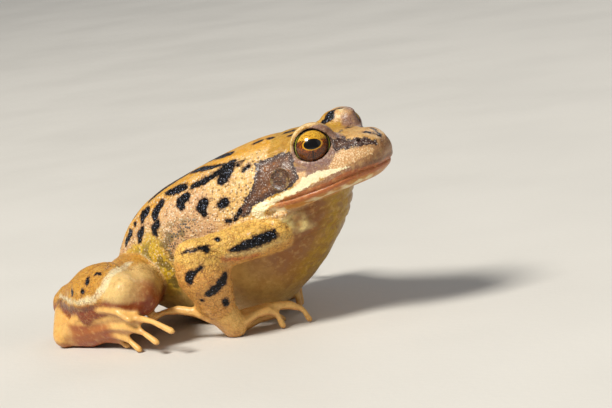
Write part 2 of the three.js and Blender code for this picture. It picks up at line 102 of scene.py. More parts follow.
def window(value, low, high, soft):
    """1 from low to high, fading out over soft at each end."""
    return ramp(low - soft, low, value) * (1 - ramp(high, high + soft, value))


def length(vectors):
    return np.linalg.norm(vectors, axis=-1)


def unit(vector):
    vector = np.asarray(vector, float)
    return vector / length(vector)


def bump_at(distance, width):
    """1 at distance 0, falling smoothly to nothing by about twice width."""
    return np.exp(-((distance / width) ** 2))


def mesh_points(mesh):
    """The corners of a mesh, in millimetres."""
    points = np.empty(len(mesh.vertices) * 3)
    mesh.vertices.foreach_get("co", points)
    return points.reshape(-1, 3) / MM


def node_shape(name):
    """The corners of a CAD node in millimetres, and its triangles."""
    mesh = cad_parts[name].data
    mesh.calc_loop_triangles()
    corners = np.empty(len(mesh.loop_triangles) * 3, np.int32)
    mesh.loop_triangles.foreach_get("vertices", corners)
    return mesh_points(mesh), corners.reshape(-1, 3)


def box_centre(name):
    low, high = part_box(name)
    return np.array((low + high) / 2) / MM


# ---- The frog's own frames ----


class Frame:
    """A place and three directions, in which points of one part of the frog are measured."""

    def __init__(self, origin, columns):
        self.origin = np.asarray(origin, float)
        self.turn = np.asarray(columns, float)

    def measure(self, points):
        return (points - self.origin) @ self.turn

    def point(self, *place):
        return self.origin + self.turn @ np.asarray(place, float)


def head_frame():
    turn = Matrix.Rotation(-HEAD_PITCH, 3, "Y") @ Matrix.Rotation(HEAD_ROLL, 3, "X")
    turn = np.array(turn) @ np.diag([-1.0, 1.0, 1.0])
    return Frame(box_centre("eye_right") - turn @ (EYE_PLACE * np.array([1, -1, 1])), turn)


def trunk_frame(snout):
    """Along the back from the vent to the nape, out to the left, and up from that line."""
    along = np.array([math.cos(TRUNK_PITCH), 0, math.sin(TRUNK_PITCH)])
    out = np.array([0.0, 1.0, 0.0])
    lift = np.cross(along, out)
    vent = [snout[0] - SNOUT_TO_VENT, 0, VENT_HEIGHT]
    return Frame(vent, np.column_stack([along, out, lift]))


HEAD = head_frame()
TRUNK = trunk_frame(HEAD.origin)
EYES = {side: box_centre(f"eye_{side}") for side in SIDES}
GAZE = {side: unit([0.42, 0.88 * sign, 0.2]) for side, sign in SIDES.items()}


# ---- The skin's shape, as a distance field ----


class Field:
    """Distance to the skin on a grid of points round the frog, negative inside."""

    def __init__(self):
        low, high = (np.array(corner) / MM for corner in cad_box)
        self.first = np.floor((low - MARGIN) / VOXEL).astype(int)
        self.count = np.ceil((high + MARGIN) / VOXEL).astype(int) - self.first + 1
        self.values = np.full(self.count, BAND, np.float32)
        self.transform = vdb.createLinearTransform(voxelSize=VOXEL)

    def add_solid(self, points, faces, kind):
        faces = {kind: faces.astype(np.uint32)}
        solid = vdb.FloatGrid.createLevelSetFromPolygons(
            points.astype(np.float32), transform=self.transform, halfWidth=BAND / VOXEL, **faces
        )
        span = np.full(self.count, BAND, np.float32)
        solid.copyToArray(span, ijk=tuple(int(i) for i in self.first))
        self.values = np.minimum(self.values, span)

    def surface(self, level=0.0):
        near = np.clip(self.values, -BAND, BAND)
        grid = vdb.FloatGrid(BAND)
        grid.copyFromArray(near, ijk=tuple(int(i) for i in self.first), tolerance=0.0)
        grid.transform = self.transform
        points, quads = grid.convertToQuads(isovalue=level)
        return np.asarray(points, float), np.asarray(quads)

    def close_gaps(self, reach):
        """Fills what is narrower than twice reach, such as the gaps between the solids."""
        outline = self.surface(reach)
        self.values[:] = BAND
        self.add_solid(*outline, "quads")
        self.values += reach

    def region(self, centre, reach):
        """The part of the grid within reach of a point: its slices, and its points."""
        low = np.maximum(np.floor((centre - reach) / VOXEL).astype(int) - self.first, 0)
        high = np.minimum(np.ceil((centre + reach) / VOXEL).astype(int) - self.first, self.count)
        slices = tuple(slice(a, b) for a, b in zip(low, high))
        axes = [np.arange(a, b) + f for a, b, f in zip(low, high, self.first)]
        grid = np.stack(np.meshgrid(*axes, indexing="ij"), axis=-1) * VOXEL
        return slices, grid


def box_blur(values, reach, axis):
    """The running mean over 2 * reach + 1 cells along an axis, with the ends held."""
    pad = [(0, 0)] * 3
    pad[axis] = (reach + 1, reach)
    total = np.cumsum(np.pad(values, pad, mode="edge"), axis=axis, dtype=np.float64)
    width = 2 * reach + 1
    ahead = [slice(None)] * 3
    behind = [slice(None)] * 3
    ahead[axis] = slice(width, None)
    behind[axis] = slice(None, -width)
    return ((total[tuple(ahead)] - total[tuple(behind)]) / width).astype(np.float32)


def blur(values, sigma):
    """Three running means, close to a Gaussian blur of sigma millimetres."""
    reach = max(1, round((math.sqrt(4 * (sigma / VOXEL) ** 2 + 1) - 1) / 2))
    for axis in range(3):
        for _ in range(3):
            values = box_blur(values, reach, axis)
    return values


def rounded(values, sigma):
    """Blurred twice over in a way that rounds facets off but keeps the volume."""
    once = blur(values, sigma)
    return 2 * once - blur(once, sigma)


def join(first, second, fillet):
    """The smooth union of two distance fields."""
    share = np.maximum(fillet - np.abs(first - second), 0) / fillet
    return np.minimum(first, second) - share * share * fillet / 4


def cut(first, second, fillet):
    """The first field less the second, with a rounded edge."""
    return -join(-first, second, fillet)


# Which solids are rounded off how much, and where each kind of skin lies.
DIGIT_WORDS = ("finger", "toe", "hand", "foot")
HEAD_WORDS = ("head", "lower_jaw", "tympanum")
GROUPS = {
    "digits": [name for name in FLESH_NODES if name.startswith(DIGIT_WORDS)],
    "head": [name for name in FLESH_NODES if name.startswith(HEAD_WORDS)],
    "trunk": ["trunk"],
}
GROUPS["limbs"] = [name for name in FLESH_NODES if not any(name in group for group in GROUPS.values())]
GAP_REACH = 0.4
DIGIT_ROUNDING = 0.28
LIMB_ROUNDING = 0.8
TRUNK_ROUNDING = 1.7


def flesh_field():
    """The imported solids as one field, their gaps closed and their facets rounded off."""
    field = Field()
    distance = {}
    for group, names in GROUPS.items():
        part = Field()
        for name in names:
            part.add_solid(*node_shape(name), "triangles")
        distance[group] = part.values
        field.values = np.minimum(field.values, part.values)
    field.close_gaps(GAP_REACH)
    from_digits = ramp(0.3, 2.5, distance["digits"])
    others = np.minimum(np.minimum(distance["limbs"], distance["head"]), distance["digits"])
    on_trunk = ramp(0.2, 2.8, others)
    shape = rounded(field.values, LIMB_ROUNDING)
    shape += on_trunk * (rounded(field.values, TRUNK_ROUNDING) - shape)
    shape += (1 - from_digits) * (rounded(field.values, DIGIT_ROUNDING) - shape)
    field.values = shape.astype(np.float32)
    return field


# ---- Forms that the solids leave out ----

LID_REACH = 3.4  # how far from the eye's middle the lids' edge lies
CORNER_RING = 3.48  # radius of the lids' ring at the corners of the eye
UPPER_LID_DROOP = 0.2  # how much further in the upper lid reaches
LOWER_LID_RISE = 0.46  # and the lower one
LID_THICKNESS = 0.17
UPPER_LID_EXTRA = 0.14
EYE_CLEARANCE = 0.03


def shape_lids(field, side):
    """Closes the socket behind the eye, rolls a lid round it and cuts the eyeball's place."""
    centre, gaze = EYES[side], GAZE[side]
    slices, grid = field.region(centre, 7.0)
    offset = grid - centre
    depth = offset @ gaze
    across = length(offset - depth[..., None] * gaze)
    distance = length(offset)
    lift = (offset @ HEAD.turn[:, 2]) / np.maximum(across, 0.5)
    tube = LID_THICKNESS + UPPER_LID_EXTRA * ramp(0.0, 0.9, lift)
    radius = CORNER_RING - UPPER_LID_DROOP * ramp(0.0, 1.0, lift)
    radius = radius - LOWER_LID_RISE * ramp(0.0, 1.0, -lift)
    edge = np.sqrt(np.maximum(LID_REACH**2 - radius**2, 0))
    ring = np.hypot(across - radius, depth - edge) - tube
    socket = np.maximum(distance - EYE_RADIUS - 0.4, depth - edge)
    skin = join(field.values[slices], socket, 0.6)
    skin = join(skin, ring, 1.9)
    field.values[slices] = cut(skin, distance - EYE_RADIUS - EYE_CLEARANCE, 0.15)


def add_swelling(field, centre, radii):
    """A soft ellipsoid on the head. Its field is the usual estimate, true near the surface."""
    slices, grid = field.region(centre, max(radii) + 3.0)
    swelling = (length((grid - centre) @ HEAD.turn / radii) - 1) * min(radii)
    field.values[slices] = join(field.values[slices], swelling, SWELLING_FILLET)


# The gland behind the mouth and the angle of the jaw: back, out and up, then half sizes the same way.
SWELLINGS = [((22.3, 11.4, 0.3), (2.3, 0.8, 0.9)), ((20.6, 10.8, -2.0), (2.6, 0.9, 0.9))]
SWELLING_FILLET = 0.8


def skin_surface():
    """The finished outline of the skin as points in millimetres and quads."""
    field = flesh_field()
    for side, sign in SIDES.items():
        for (back, out, up), radii in SWELLINGS:
            add_swelling(field, HEAD.point(back, sign * out, up), radii)
        shape_lids(field, side)
    return field.surface()


# ---- The skin's mesh ----


def largest_piece(points, quads):
    """Drops the small bubbles that a field can leave inside."""
    label = np.arange(len(points))
    edges = np.concatenate([quads[:, [0, 1]], quads[:, [1, 2]], quads[:, [2, 3]]])
    while True:
        lowest = label.copy()
        np.minimum.at(lowest, edges[:, 0], label[edges[:, 1]])
        np.minimum.at(lowest, edges[:, 1], label[edges[:, 0]])
        lowest = lowest[lowest]
        if np.array_equal(lowest, label):
            break
        label = lowest
    names, sizes = np.unique(label, return_counts=True)
    keep = label == names[np.argmax(sizes)]
    order = np.cumsum(keep) - 1
    return points[keep], order[quads[keep[quads[:, 0]]]]


def new_object(name, data):
    piece = bpy.data.objects.new(name, data)
    bpy.context.scene.collection.objects.link(piece)
    return piece


def mesh_from(name, points, faces):
    mesh = bpy.data.meshes.new(name)
    mesh.from_pydata((points * MM).tolist(), [], faces.tolist())
    mesh.update()
    return mesh


def write_attribute(mesh, name, values):
    """Stores a value or a colour for each point, for the material to read."""
    if values.ndim == 1:
        layer = mesh.attributes.new(name, "FLOAT", "POINT")
        layer.data.foreach_set("value", values.astype(np.float32))
    else:
        layer = mesh.attributes.new(name, "FLOAT_COLOR", "POINT")
        layer.data.foreach_set("color", values.astype(np.float32).ravel())


FINE_BACK = 24.5  # how far behind the snout tip the finer mesh of the head reaches
FINE_DOWN = 3.5  # and how far below the plane of the jaws


def refine_head(mesh):
    """Splits each face of the head above the throat into four."""
    shape = bmesh.new()
    shape.from_mesh(mesh)
    middles = np.array([face.calc_center_median() for face in shape.faces]) / MM
    back, out, up = HEAD.measure(middles).T
    picked = (back < FINE_BACK) & (up > -FINE_DOWN)
    edges = {edge for face, wanted in zip(shape.faces, picked) if wanted for edge in face.edges}
    bmesh.ops.subdivide_edges(shape, edges=list(edges), cuts=1, use_grid_fill=True)
    shape.to_mesh(mesh)
    shape.free()


class Shape:
    """A mesh with its points, normals and neighbours as arrays, in millimetres."""

    def __init__(self, mesh):
        self.mesh = mesh
        self.points = mesh_points(mesh)
        edges = np.empty(len(mesh.edges) * 2, np.int32)
        mesh.edges.foreach_get("vertices", edges)
        self.edges = edges.reshape(-1, 2)
        self.degree = np.bincount(edges, minlength=len(self.points))

    def spread(self, values, rounds):
        """Rows of values at the points, each drawn halfway to the mean of its neighbours each round."""
        first, second = self.edges.T
        for _ in range(rounds):
            for row in values:
                total = np.bincount(first, row[second], len(row))
                total += np.bincount(second, row[first], len(row))
                row += 0.5 * (total / self.degree - row)
        return values

    def write_points(self):
        self.mesh.vertices.foreach_set("co", (self.points * MM).ravel())
        self.mesh.update()

    def normals(self):
        normals = np.empty(len(self.mesh.vertices) * 3)
        self.mesh.vertex_normals.foreach_get("vector", normals)
        return normals.reshape(-1, 3)


# ---- Noise ----


def corner_values(corners, seed):
    """A repeatable number from 0 to 1 for each corner of a grid of whole numbers."""
    mixed = corners[..., 0] * 73856093 ^ corners[..., 1] * 19349663 ^ corners[..., 2] * 83492791
    mixed = (mixed + seed * 2654435761) & 0xFFFFFFFF
    mixed = ((mixed ^ (mixed >> 15)) * 2246822519) & 0xFFFFFFFF
    mixed = ((mixed ^ (mixed >> 13)) * 3266489917) & 0xFFFFFFFF
    return (mixed ^ (mixed >> 16)) / 0xFFFFFFFF


def noise(points, size, seed):
    """Smooth noise from -1 to 1, with features of about size millimetres."""
    place = points / size
    cell = np.floor(place).astype(np.int64)
    share = place - cell
    share = share * share * (3 - 2 * share)
    total = np.zeros(len(points))
    for step in np.ndindex(2, 2, 2):
        step = np.array(step)
        weight = np.prod(np.where(step == 1, share, 1 - share), axis=1)
        total += weight * corner_values(cell + step, seed)
    return 2 * total - 1


def grains(points, size, seed):
    """1 at the middle of each of many scattered grains, 0 between them."""
    place = points / size
    cell = np.floor(place).astype(np.int64)
    nearest = np.full(len(points), 9.0)
    for step in np.ndindex(3, 3, 3):
        corner = cell + np.array(step) - 1
        middle = np.stack([corner_values(corner, seed + k) for k in range(3)], axis=1)
        middle = corner + 0.15 + 0.7 * middle
        nearest = np.minimum(nearest, np.sum((place - middle) ** 2, axis=1))
    return np.clip(1 - np.sqrt(nearest) / 0.62, 0, 1)


# ---- Places on the skin ----

# The limbs' joints, close to those of the solids: forward, out from the midline, and height.
SNOUT_FORWARD = 33.0
LEFT_SET_BACK = 6.0
LEFT_HEEL_SHIFT = (2.2, 0, -2.4)
JOINTS = {
    "shoulder": (12.5, 10.0, 17.4),
    "elbow": (1.8, 20.2, 16.2),
    "wrist": (3.4, 16.4, 6.6),
    "hip": (-23.5, 6.4, 8.6),
    "knee": (-9.2, 23.2, 9.6),
    "shank_knee": (-10.8, 25.0, 10.2),
    "heel": (-33.0, 10.4, 8.2),
    "instep": (-28.8, 21.2, 2.1),
}
BONE_ENDS = {
    "upper_arm": ("shoulder", "elbow"),
    "forearm": ("elbow", "wrist"),
    "thigh": ("hip", "knee"),
    "shank": ("shank_knee", "heel"),
}


def joint_place(joint, side):
    forward, out, height = JOINTS[joint]
    place = np.array([forward + HEAD.origin[0] - SNOUT_FORWARD, SIDES[side] * out, height])
    if side == "left" and joint not in ("shoulder", "hip"):
        place[0] -= LEFT_SET_BACK
    if side == "left" and joint == "heel":
        place += LEFT_HEEL_SHIFT
    return place


class Bone:
    """A limb's straight axis, with places given along it from 0 to 1 and round it from its top."""

    def __init__(self, limb, side):
        self.start, end = (joint_place(joint, side) for joint in BONE_ENDS[limb])
        self.span = end - self.start
        axis = unit(self.span)
        upright = np.array([0, 0, 1.0])
        self.top = unit(upright - axis * (axis @ upright))
        self.beside = -SIDES[side] * np.cross(axis, self.top)

    def measure(self, points):
        offset = points - self.start
        along = offset @ self.span / (self.span @ self.span)
        return along, np.degrees(np.arctan2(offset @ self.beside, offset @ self.top))

    def line(self, along, around):
        """A point of the bone, and the direction out of it at that angle."""
        angle = math.radians(around)
        out = self.top * math.cos(angle) + self.beside * math.sin(angle)
        return self.start + self.span * along, out


BONES = {(limb, side): Bone(limb, side) for limb in BONE_ENDS for side in SIDES}


def trunk_polar(points):
    """Along from the vent, and degrees round from the middle of the back."""
    along, out, up = TRUNK.measure(points).T
    return along, np.degrees(np.arctan2(np.abs(out), up))


class Surface:
    """The plain skin, found from the frog's own frames, to lay folds and markings on."""

    def __init__(self, skin):
        faces = [tuple(face.vertices) for face in skin.mesh.polygons]
        self.tree = BVHTree.FromPolygons([tuple(p) for p in skin.points.tolist()], faces)

    def hit(self, start, direction):
        found = self.tree.ray_cast(Vector(start), Vector(direction))[0]
        return self.nearest(start) if found is None else np.array(found)

    def nearest(self, place):
        return np.array(self.tree.find_nearest(Vector(place))[0])

    def on_trunk(self, side, along, around):
        angle = math.radians(around)
        out = TRUNK.turn @ np.array([0, SIDES[side] * math.sin(angle), math.cos(angle)])
        return self.hit(TRUNK.point(along, 0, 0) + out, out)

    def on_cheek(self, side, back, up):
        """Where a line straight in from the side meets the head."""
        sign = SIDES[side]
        return self.hit(HEAD.point(back, 20 * sign, up), -sign * HEAD.turn[:, 1])

    def on_crown(self, side, back, out):
        """Where a line straight down meets the top of the head."""
        return self.hit(HEAD.point(back, SIDES[side] * out, 25), -HEAD.turn[:, 2])

    def on_limb(self, side, limb, along, around):
        return self.hit(*BONES[limb, side].line(along, around))


REACH = 2.0  # mm outside a marking to which its distance is kept


def inside_stroke(points, path, widths, reach=REACH):
    """How deep each point lies inside a stroke of changing half width, negative outside it."""
    path = np.atleast_2d(path)
    widths = np.broadcast_to(widths, len(path)).astype(float)
    depth = np.full(len(points), -reach)
    low = path.min(axis=0) - widths.max() - reach
    high = path.max(axis=0) + widths.max() + reach
    near = np.flatnonzero(np.all((points > low) & (points < high), axis=1))
    close = points[near]
    best = widths[0] - length(close - path[0])
    for a, b, wide_a, wide_b in zip(path[:-1], path[1:], widths[:-1], widths[1:]):
        span = b - a
        share = np.clip((close - a) @ span / max(span @ span, 1e-9), 0, 1)
        gap = length(close - a - share[:, None] * span)
        best = np.maximum(best, wide_a + share * (wide_b - wide_a) - gap)
    depth[near] = np.maximum(best, -reach)
    return depth


def inside_outline(places, outline):
    """How deep each place in a plane lies inside a closed outline, negative outside it."""
    outline = np.asarray(outline, float)
    gap = np.full(len(places), 1e9)
    inside = np.zeros(len(places), bool)
    for a, b in zip(outline, np.roll(outline, -1, axis=0)):
        span = b - a
        share = np.clip((places - a) @ span / (span @ span), 0, 1)
        gap = np.minimum(gap, length(places - a - share[:, None] * span))
        crosses = (a[1] > places[:, 1]) != (b[1] > places[:, 1])
        rise = span[1] if span[1] else 1e-9
        inside ^= crosses & (places[:, 0] < a[0] + (places[:, 1] - a[1]) * span[0] / rise)
    return np.clip(np.where(inside, gap, -gap), -REACH, REACH)


# ---- Folds, lips, nostrils and grains ----

# The fold from the eye to the hip: millimetres along from the vent, degrees round from the spine.
DORSAL_FOLD = [(42, 54), (38, 49), (33, 47), (28, 44), (22, 41), (16, 39), (10, 40)]
FOLD_ON_HEAD = [(16.5, 8.9), (19.5, 8.8), (22.0, 8.8)]  # back, up
BROW_RIDGE = [(6.6, 3.0), (8.2, 2.6), (10.4, 2.4), (12.6, 2.7), (14.4, 3.6)]  # back, out
CANTHAL_RIDGE = [(7.0, 7.6), (5.0, 6.7), (3.2, 6.4), (1.7, 5.4), (0.8, 4.4)]  # back, up
MOUTH_END = 21.8
NOSTRIL = (3.3, 3.4, 5.6)  # back, out, up
THROAT_FOLDS = [-2.2, -3.9, -5.8, -7.6]  # how far below the mouth each crease runs


def mouth_height(back):
    """The mouth line above the plane of the jaws: it rises behind the snout and at its corner."""
    return 0.6 * ramp(0.5, 4, back) - 0.3 * ramp(5, 10, back) + 0.4 * ramp(15, 21, back)


def fold_path(surface, side):
    head = [surface.on_cheek(side, *place) for place in FOLD_ON_HEAD]
    return np.array(head + [surface.on_trunk(side, *place) for place in DORSAL_FOLD])


def mouth_relief(points):
    back, out, up = HEAD.measure(points).T
    above = up - mouth_height(back)
    reach = ramp(-0.5, 0.3, back) * (1 - ramp(MOUTH_END - 1, MOUTH_END + 0.6, back))
    slit = -0.28 * bump_at(above, 0.2)
    upper_lip = 0.12 * bump_at(above - 0.8, 0.5)
    lower_lip = 0.16 * bump_at(above + 0.75, 0.5)
    return reach * (slit + upper_lip + lower_lip)


def nostril_relief(points, surface):
    height = np.zeros(len(points))
    for sign in SIDES.values():
        back, out, up = NOSTRIL
        place = surface.nearest(HEAD.point(back, sign * out, up))
        away = length(points - place)
        height += 0.2 * bump_at(away - 0.55, 0.35) - 0.7 * bump_at(away, 0.34)
    return height


def from_eardrum(points, side):
    return length(points - box_centre(f"tympanum_{side}"))


def eardrum_relief(points):
    height = np.zeros(len(points))
    for side in SIDES:
        away = from_eardrum(points, side)
        height += 0.14 * bump_at(away - 2.0, 0.28)
        height += 0.1 * bump_at(away, 0.45)
        height -= 0.16 * (1 - ramp(1.2, 1.9, away))
    return height


def ridge_relief(points, surface):
    height = np.zeros(len(points))
    for side in SIDES:
        depth = inside_stroke(points, fold_path(surface, side), 0, 3.0)
        height += 0.36 * bump_at(depth, 0.65) - 0.1 * bump_at(depth + 1.5, 0.8)
        brow = [surface.on_crown(side, *place) for place in BROW_RIDGE]
        height += 0.12 * bump_at(inside_stroke(points, brow, 0), 0.4)
        canthus = [surface.on_cheek(side, *place) for place in CANTHAL_RIDGE]
        height += 0.18 * bump_at(inside_stroke(points, canthus, 0), 0.55)
    return height


def slack_skin(points):
    """The lumpy skin between the angle of the jaw and the shoulder, 0 to 1."""
    back, out, up = HEAD.measure(points).T
    lumps = ramp(-0.6, 0.1, noise(points, 2.4, SEED + 9))
    return window(back, 17.0, 24.0, 1.2) * window(up, -5.6, -2.5, 0.7) * lumps


def throat_relief(points):
    """Loose creases that run along under the jaw, and the slack skin of the chest."""
    back, out, up = HEAD.measure(points).T
    waver = 0.8 * noise(points, 5.0, SEED + 2) + 0.25 * noise(points, 1.8, SEED + 3)
    height = 0.12 * noise(points, 2.6, SEED + 4) * (up < -1)
    for depth in THROAT_FOLDS:
        height -= 0.22 * bump_at(up - depth + waver, 0.35)
    height = height * ramp(4, 9, back) * (1 - ramp(23, 29, back))
    return height + 0.4 * slack_skin(points)


def grain_relief(points, parts):
    """Soft warts on the flanks and thighs, and a finer grain elsewhere."""
    along, around = trunk_polar(points)
    flank = ramp(25, 60, around) * (1 - ramp(115, 140, around)) * parts["trunk"]
    rough = 0.15 * flank + 0.05 * parts["trunk"] + 0.06 * parts["thigh"] + 0.05 * parts["shank"]
    rough = rough + 0.03 * parts["head"] + 0.045 * parts["arm"]
    uneven = 0.6 + 0.4 * noise(points, 3.0, SEED)
    swell = 0.06 * noise(points, 2.2, SEED + 5) * (flank + parts["thigh"] + parts["shank"])
    return rough * grains(points, 0.95, SEED) * uneven + swell


def wrinkle_relief(points, parts):
    """Fine lines across the arms, and slack, uneven skin over the folded hind legs."""
    height = np.zeros(len(points))
    for side, sign in SIDES.items():
        own = points[:, 1] * sign > 0
        for limb, kind, depth in (("forearm", "arm", 0.11), ("shank", "shank", 0.1)):
            axis = unit(BONES[limb, side].span)
            along = points @ axis
            stretched = 0.35 * points + 0.65 * along[:, None] * axis
            line = 1 - np.abs(noise(stretched, 0.75, SEED + 8))
            height += depth * own * parts[kind] * (line**3 - 0.4)
    return height


CREASES = {
    # On a limb: along and round it, for the lines where the skin folds.
    "upper_arm": [[(1.2, -48), (1.05, -57), (0.92, -68), (0.78, -82), (0.7, -98)]],
    "forearm": [[(0.84, 60), (0.9, 110), (0.93, 160)], [(0.98, 70), (1.0, 120), (1.0, 165)]],
    "shank": [
        [(0.55, 2), (0.44, 14), (0.3, 8), (0.18, 18)],
        [(0.6, 14), (0.42, 28), (0.26, 26)],
        [(0.86, -96), (0.6, -92), (0.3, -96)],
        [(0.29, 14), (0.25, 0), (0.2, -20), (0.18, -34)],
    ],
}


def crease_relief(points, surface):
    height = np.zeros(len(points))
    for limb, lines in CREASES.items():
        for side in SIDES:
            for line in lines:
                path = [surface.on_limb(side, limb, *place) for place in line]
                height -= 0.34 * bump_at(inside_stroke(points, path, 0), 0.24)
    return height


TOP_SQUASH = 1.0  # mm below the top of the solids over which taller skin is eased under it


def keep_in_box(points):
    """Eases the highest skin under the top of the solids, and holds the rest inside their box."""
    low, high = (np.array(corner) / MM for corner in cad_box)
    ease = np.maximum(points[:, 2] - high[2] + TOP_SQUASH, 0)
    points[:, 2] -= ease - TOP_SQUASH * (1 - np.exp(-ease / TOP_SQUASH))
    np.clip(points, low, high, out=points)


def sculpt(skin, surface, parts):
    points = skin.points.copy()
    height = mouth_relief(points) + nostril_relief(points, surface) + eardrum_relief(points)
    height += ridge_relief(points, surface) + throat_relief(points)
    height += crease_relief(points, surface) + grain_relief(points, parts)
    height += wrinkle_relief(points, parts)
    around_eye = np.ones(len(points))
    for side in SIDES:
        away = length(points - EYES[side])
        around_eye *= ramp(EYE_RADIUS + 0.1, EYE_RADIUS + 0.9, away)
    skin.points = points + skin.normals() * (height * around_eye)[:, None]
    keep_in_box(skin.points)
    skin.write_points()


# ---- The kinds of skin ----

PART_WORDS = {
    "head": ("head", "tympanum"),
    "jaw": ("lower_jaw",),
    "trunk": ("trunk",),
    "arm": ("upper_arm", "forearm"),
    "hand": ("hand",),
    "digit": ("finger", "toe"),
    "thigh": ("thigh",),
    "shank": ("shank",),
    "foot": ("tarsus", "foot"),
}


def part_shares(skin):
    """How much of each kind of skin every point is, blended where the solids meet."""
    corners, faces, owners = [], [], []
    start = 0
    for name in FLESH_NODES:
        points, triangles = node_shape(name)
        corners.extend(points.tolist())
        faces.extend((triangles + start).tolist())
        kind = next(k for k, words in enumerate(PART_WORDS.values()) if name.startswith(words))
        owners += [kind] * len(triangles)
        start += len(points)
    tree = BVHTree.FromPolygons(corners, faces)
    nearest = [tree.find_nearest(Vector(p))[2] for p in skin.points.tolist()]
    kinds = np.array(owners)[nearest]
    shares = (kinds == np.arange(len(PART_WORDS))[:, None]).astype(float)
    return dict(zip(PART_WORDS, skin.spread(shares, 6)))


# ---- Colours ----

COLOURS = {
    "back": (214, 156, 44),
    "crown": (190, 144, 46),
    "nape": (226, 184, 112),
    "flank": (214, 172, 126),
    "belly": (204, 166, 84),
    "groin": (214, 178, 40),
    "snout": (214, 172, 112),
    "muzzle": (160, 116, 80),
    "under_eye": (134, 104, 98),
    "temple": (232, 190, 134),
    # lid: a dark grey used as painted shade, along the lids' inner edge and in a crease of the shank.
    "lid": (64, 54, 54),
    "ear": (34, 20, 18),
    "ear_middle": (62, 40, 32),
    "upper_lip": (136, 98, 74),
    "lip": (180, 98, 50),
    "cream": (246, 232, 186),
    "gland": (232, 204, 112),
    "jaw": (196, 130, 54),
    # throat and chest: their own tan, darkened as painted shade under the head and body.
    "throat": (144, 80, 0),
    "chest": (136, 78, 0),
    "chest_edge": (176, 138, 8),
    "arm": (238, 190, 92),
    "arm_under": (214, 140, 66),
    "arm_cream": (236, 206, 140),
    "armpit": (206, 92, 44),
    "hand": (236, 186, 100),
    "leg": (206, 148, 48),
    # knee cream: pale skin, partly painted highlight on the knee.
    "knee_cream_and_highlight": (238, 220, 172),
    "shank_band": (96, 54, 36),
    # knee: the leg's own orange, deepened as painted shade on the lower side.
    "knee": (132, 46, 0),
    "foot": (226, 174, 94),
    "digit": (236, 186, 106),
    # sole and foot side: their own red-orange, deepened as painted shade.
    "shaded_sole": (150, 66, 30),
    "shaded_foot_side": (166, 80, 22),
    "slack": (250, 226, 150),
}


def linear(name):
    return np.array(srgb(*COLOURS[name])[:3])


class Paint:
    """The skin's base colour, laid on in coats."""

    def __init__(self, count, first):
        self.colour = np.tile(linear(first), (count, 1))

    def coat(self, name, share):
        share = np.clip(share, 0, 1)[:, None]
        self.colour += share * (linear(name) - self.colour)

    def stroke(self, name, points, path, widths, soft=0.3, strength=1.0):
        """A soft-edged, slightly uneven stroke."""
        depth = inside_stroke(points, path, widths) + 0.3 * noise(points, 0.9, SEED + 31)
        self.coat(name, strength * ramp(-soft, soft, depth))


def paint_trunk(paint, surface, points, parts):
    along, around = trunk_polar(points)
    waver = noise(points, 4.0, SEED + 11)
    body = parts["trunk"]
    paint.coat("flank", body * ramp(38, 66, around + 6 * waver))
    paint.coat("nape", body * window(along, 36, 46, 5) * window(around, 50, 105, 14))
    paint.coat("groin", body * window(along, 1, 17, 4) * window(around + 8 * waver, 70, 126, 10))
    paint.coat("belly", body * ramp(108, 135, around + 6 * waver) * 0.8)
    for side in SIDES:
        paint.stroke("nape", points, fold_path(surface, side), 0.45, 0.4, 0.75)
    under = body * ramp(30, 40, along) * ramp(105, 130, around)
    # Painted shade: the chest's own tan, laid dark as under the body.
    paint.coat("chest", under)
    middle = np.abs(TRUNK.measure(points)[:, 1])
    paint.coat("chest_edge", under * (1 - ramp(2.5, 7, middle + waver)) * 0.9)


def paint_head(paint, points, parts):
    back, out, up = HEAD.measure(points).T
    waver = noise(points, 1.6, SEED + 12)
    head = np.clip(parts["head"] + parts["jaw"], 0, 1)
    paint.coat("crown", parts["head"])
    paint.coat("snout", head * (1 - ramp(4, 9, back)) * 0.8)
    above = up - mouth_height(back)
    below = -above
    under_eye = window(up + 0.4 * waver, 2.9, 5.2, 0.5) * window(back, 7.6, 13.6, 1.2)
    paint.coat("under_eye", parts["head"] * under_eye * 0.9)
    temple = window(up + 0.3 * waver, 2.6, 4.2, 0.4) * window(back + 0.5 * waver, 12.6, 14.6, 0.5)
    paint.coat("temple", parts["head"] * temple * (np.abs(out) > 4))
    brow = window(back, 8.0, 12.0, 1.2) * ramp(8.6, 9.6, up) * (np.abs(out) > 3)
    paint.coat("temple", parts["head"] * brow * ramp(-0.3, 0.3, waver) * 0.8)
    muzzle = window(above, 0.4, 4.4 - 0.12 * back, 0.7) * (1 - ramp(8.5, 10.5, back))
    paint.coat("muzzle", head * muzzle * 0.9)
    paint.coat("jaw", head * ramp(0.1, 0.6, below))
    # Painted shade: the throat's own tan, laid dark as under the head.
    paint.coat("throat", head * ramp(2.0, 5.0, below + waver))
    paint.coat("cream", head * window(below, 0.9, 1.8, 0.5) * ramp(0.0, 0.5, waver) * 0.85)
    paint.coat("slack", slack_skin(points))
    band = window(above + 0.35 * waver, 0.4, 1.3, 0.4) * window(back, 0.8, 15.5, 1.2)
    paint.coat("upper_lip", head * band * 0.85)
    lip = window(above + 0.2 * waver, -0.75, 0.6, 0.35) * window(back, -2, 18, 2.5)
    paint.coat("lip", head * lip * 0.9)


KNEE_CREAM_AND_HIGHLIGHT = [
    # Limb, along it and round it, and half width: over the folded knee, then back along the shank. A pale
    # band, partly the skin's cream and partly painted highlight on the stretched, glossy skin.
    ("thigh", 0.5, 4, 0.7),
    ("shank", 0.13, 1, 0.95),
    ("shank", 0.05, -51, 0.9),
    ("shank", 0.14, -84, 0.7),
    ("shank", 0.3, -92, 0.5),
    ("shank", 0.55, -88, 0.45),
    ("shank", 0.75, -93, 0.4),
    ("shank", 0.92, -90, 0.35),
]
ARM_CREAM = [(0.66, -106, 0.35), (0.45, -110, 0.5), (0.2, -108, 0.5), (0.0, -100, 0.4)]
ARMPIT = [(0.72, -112, 0.5), (0.55, -125, 0.45), (0.3, -132, 0.35)]


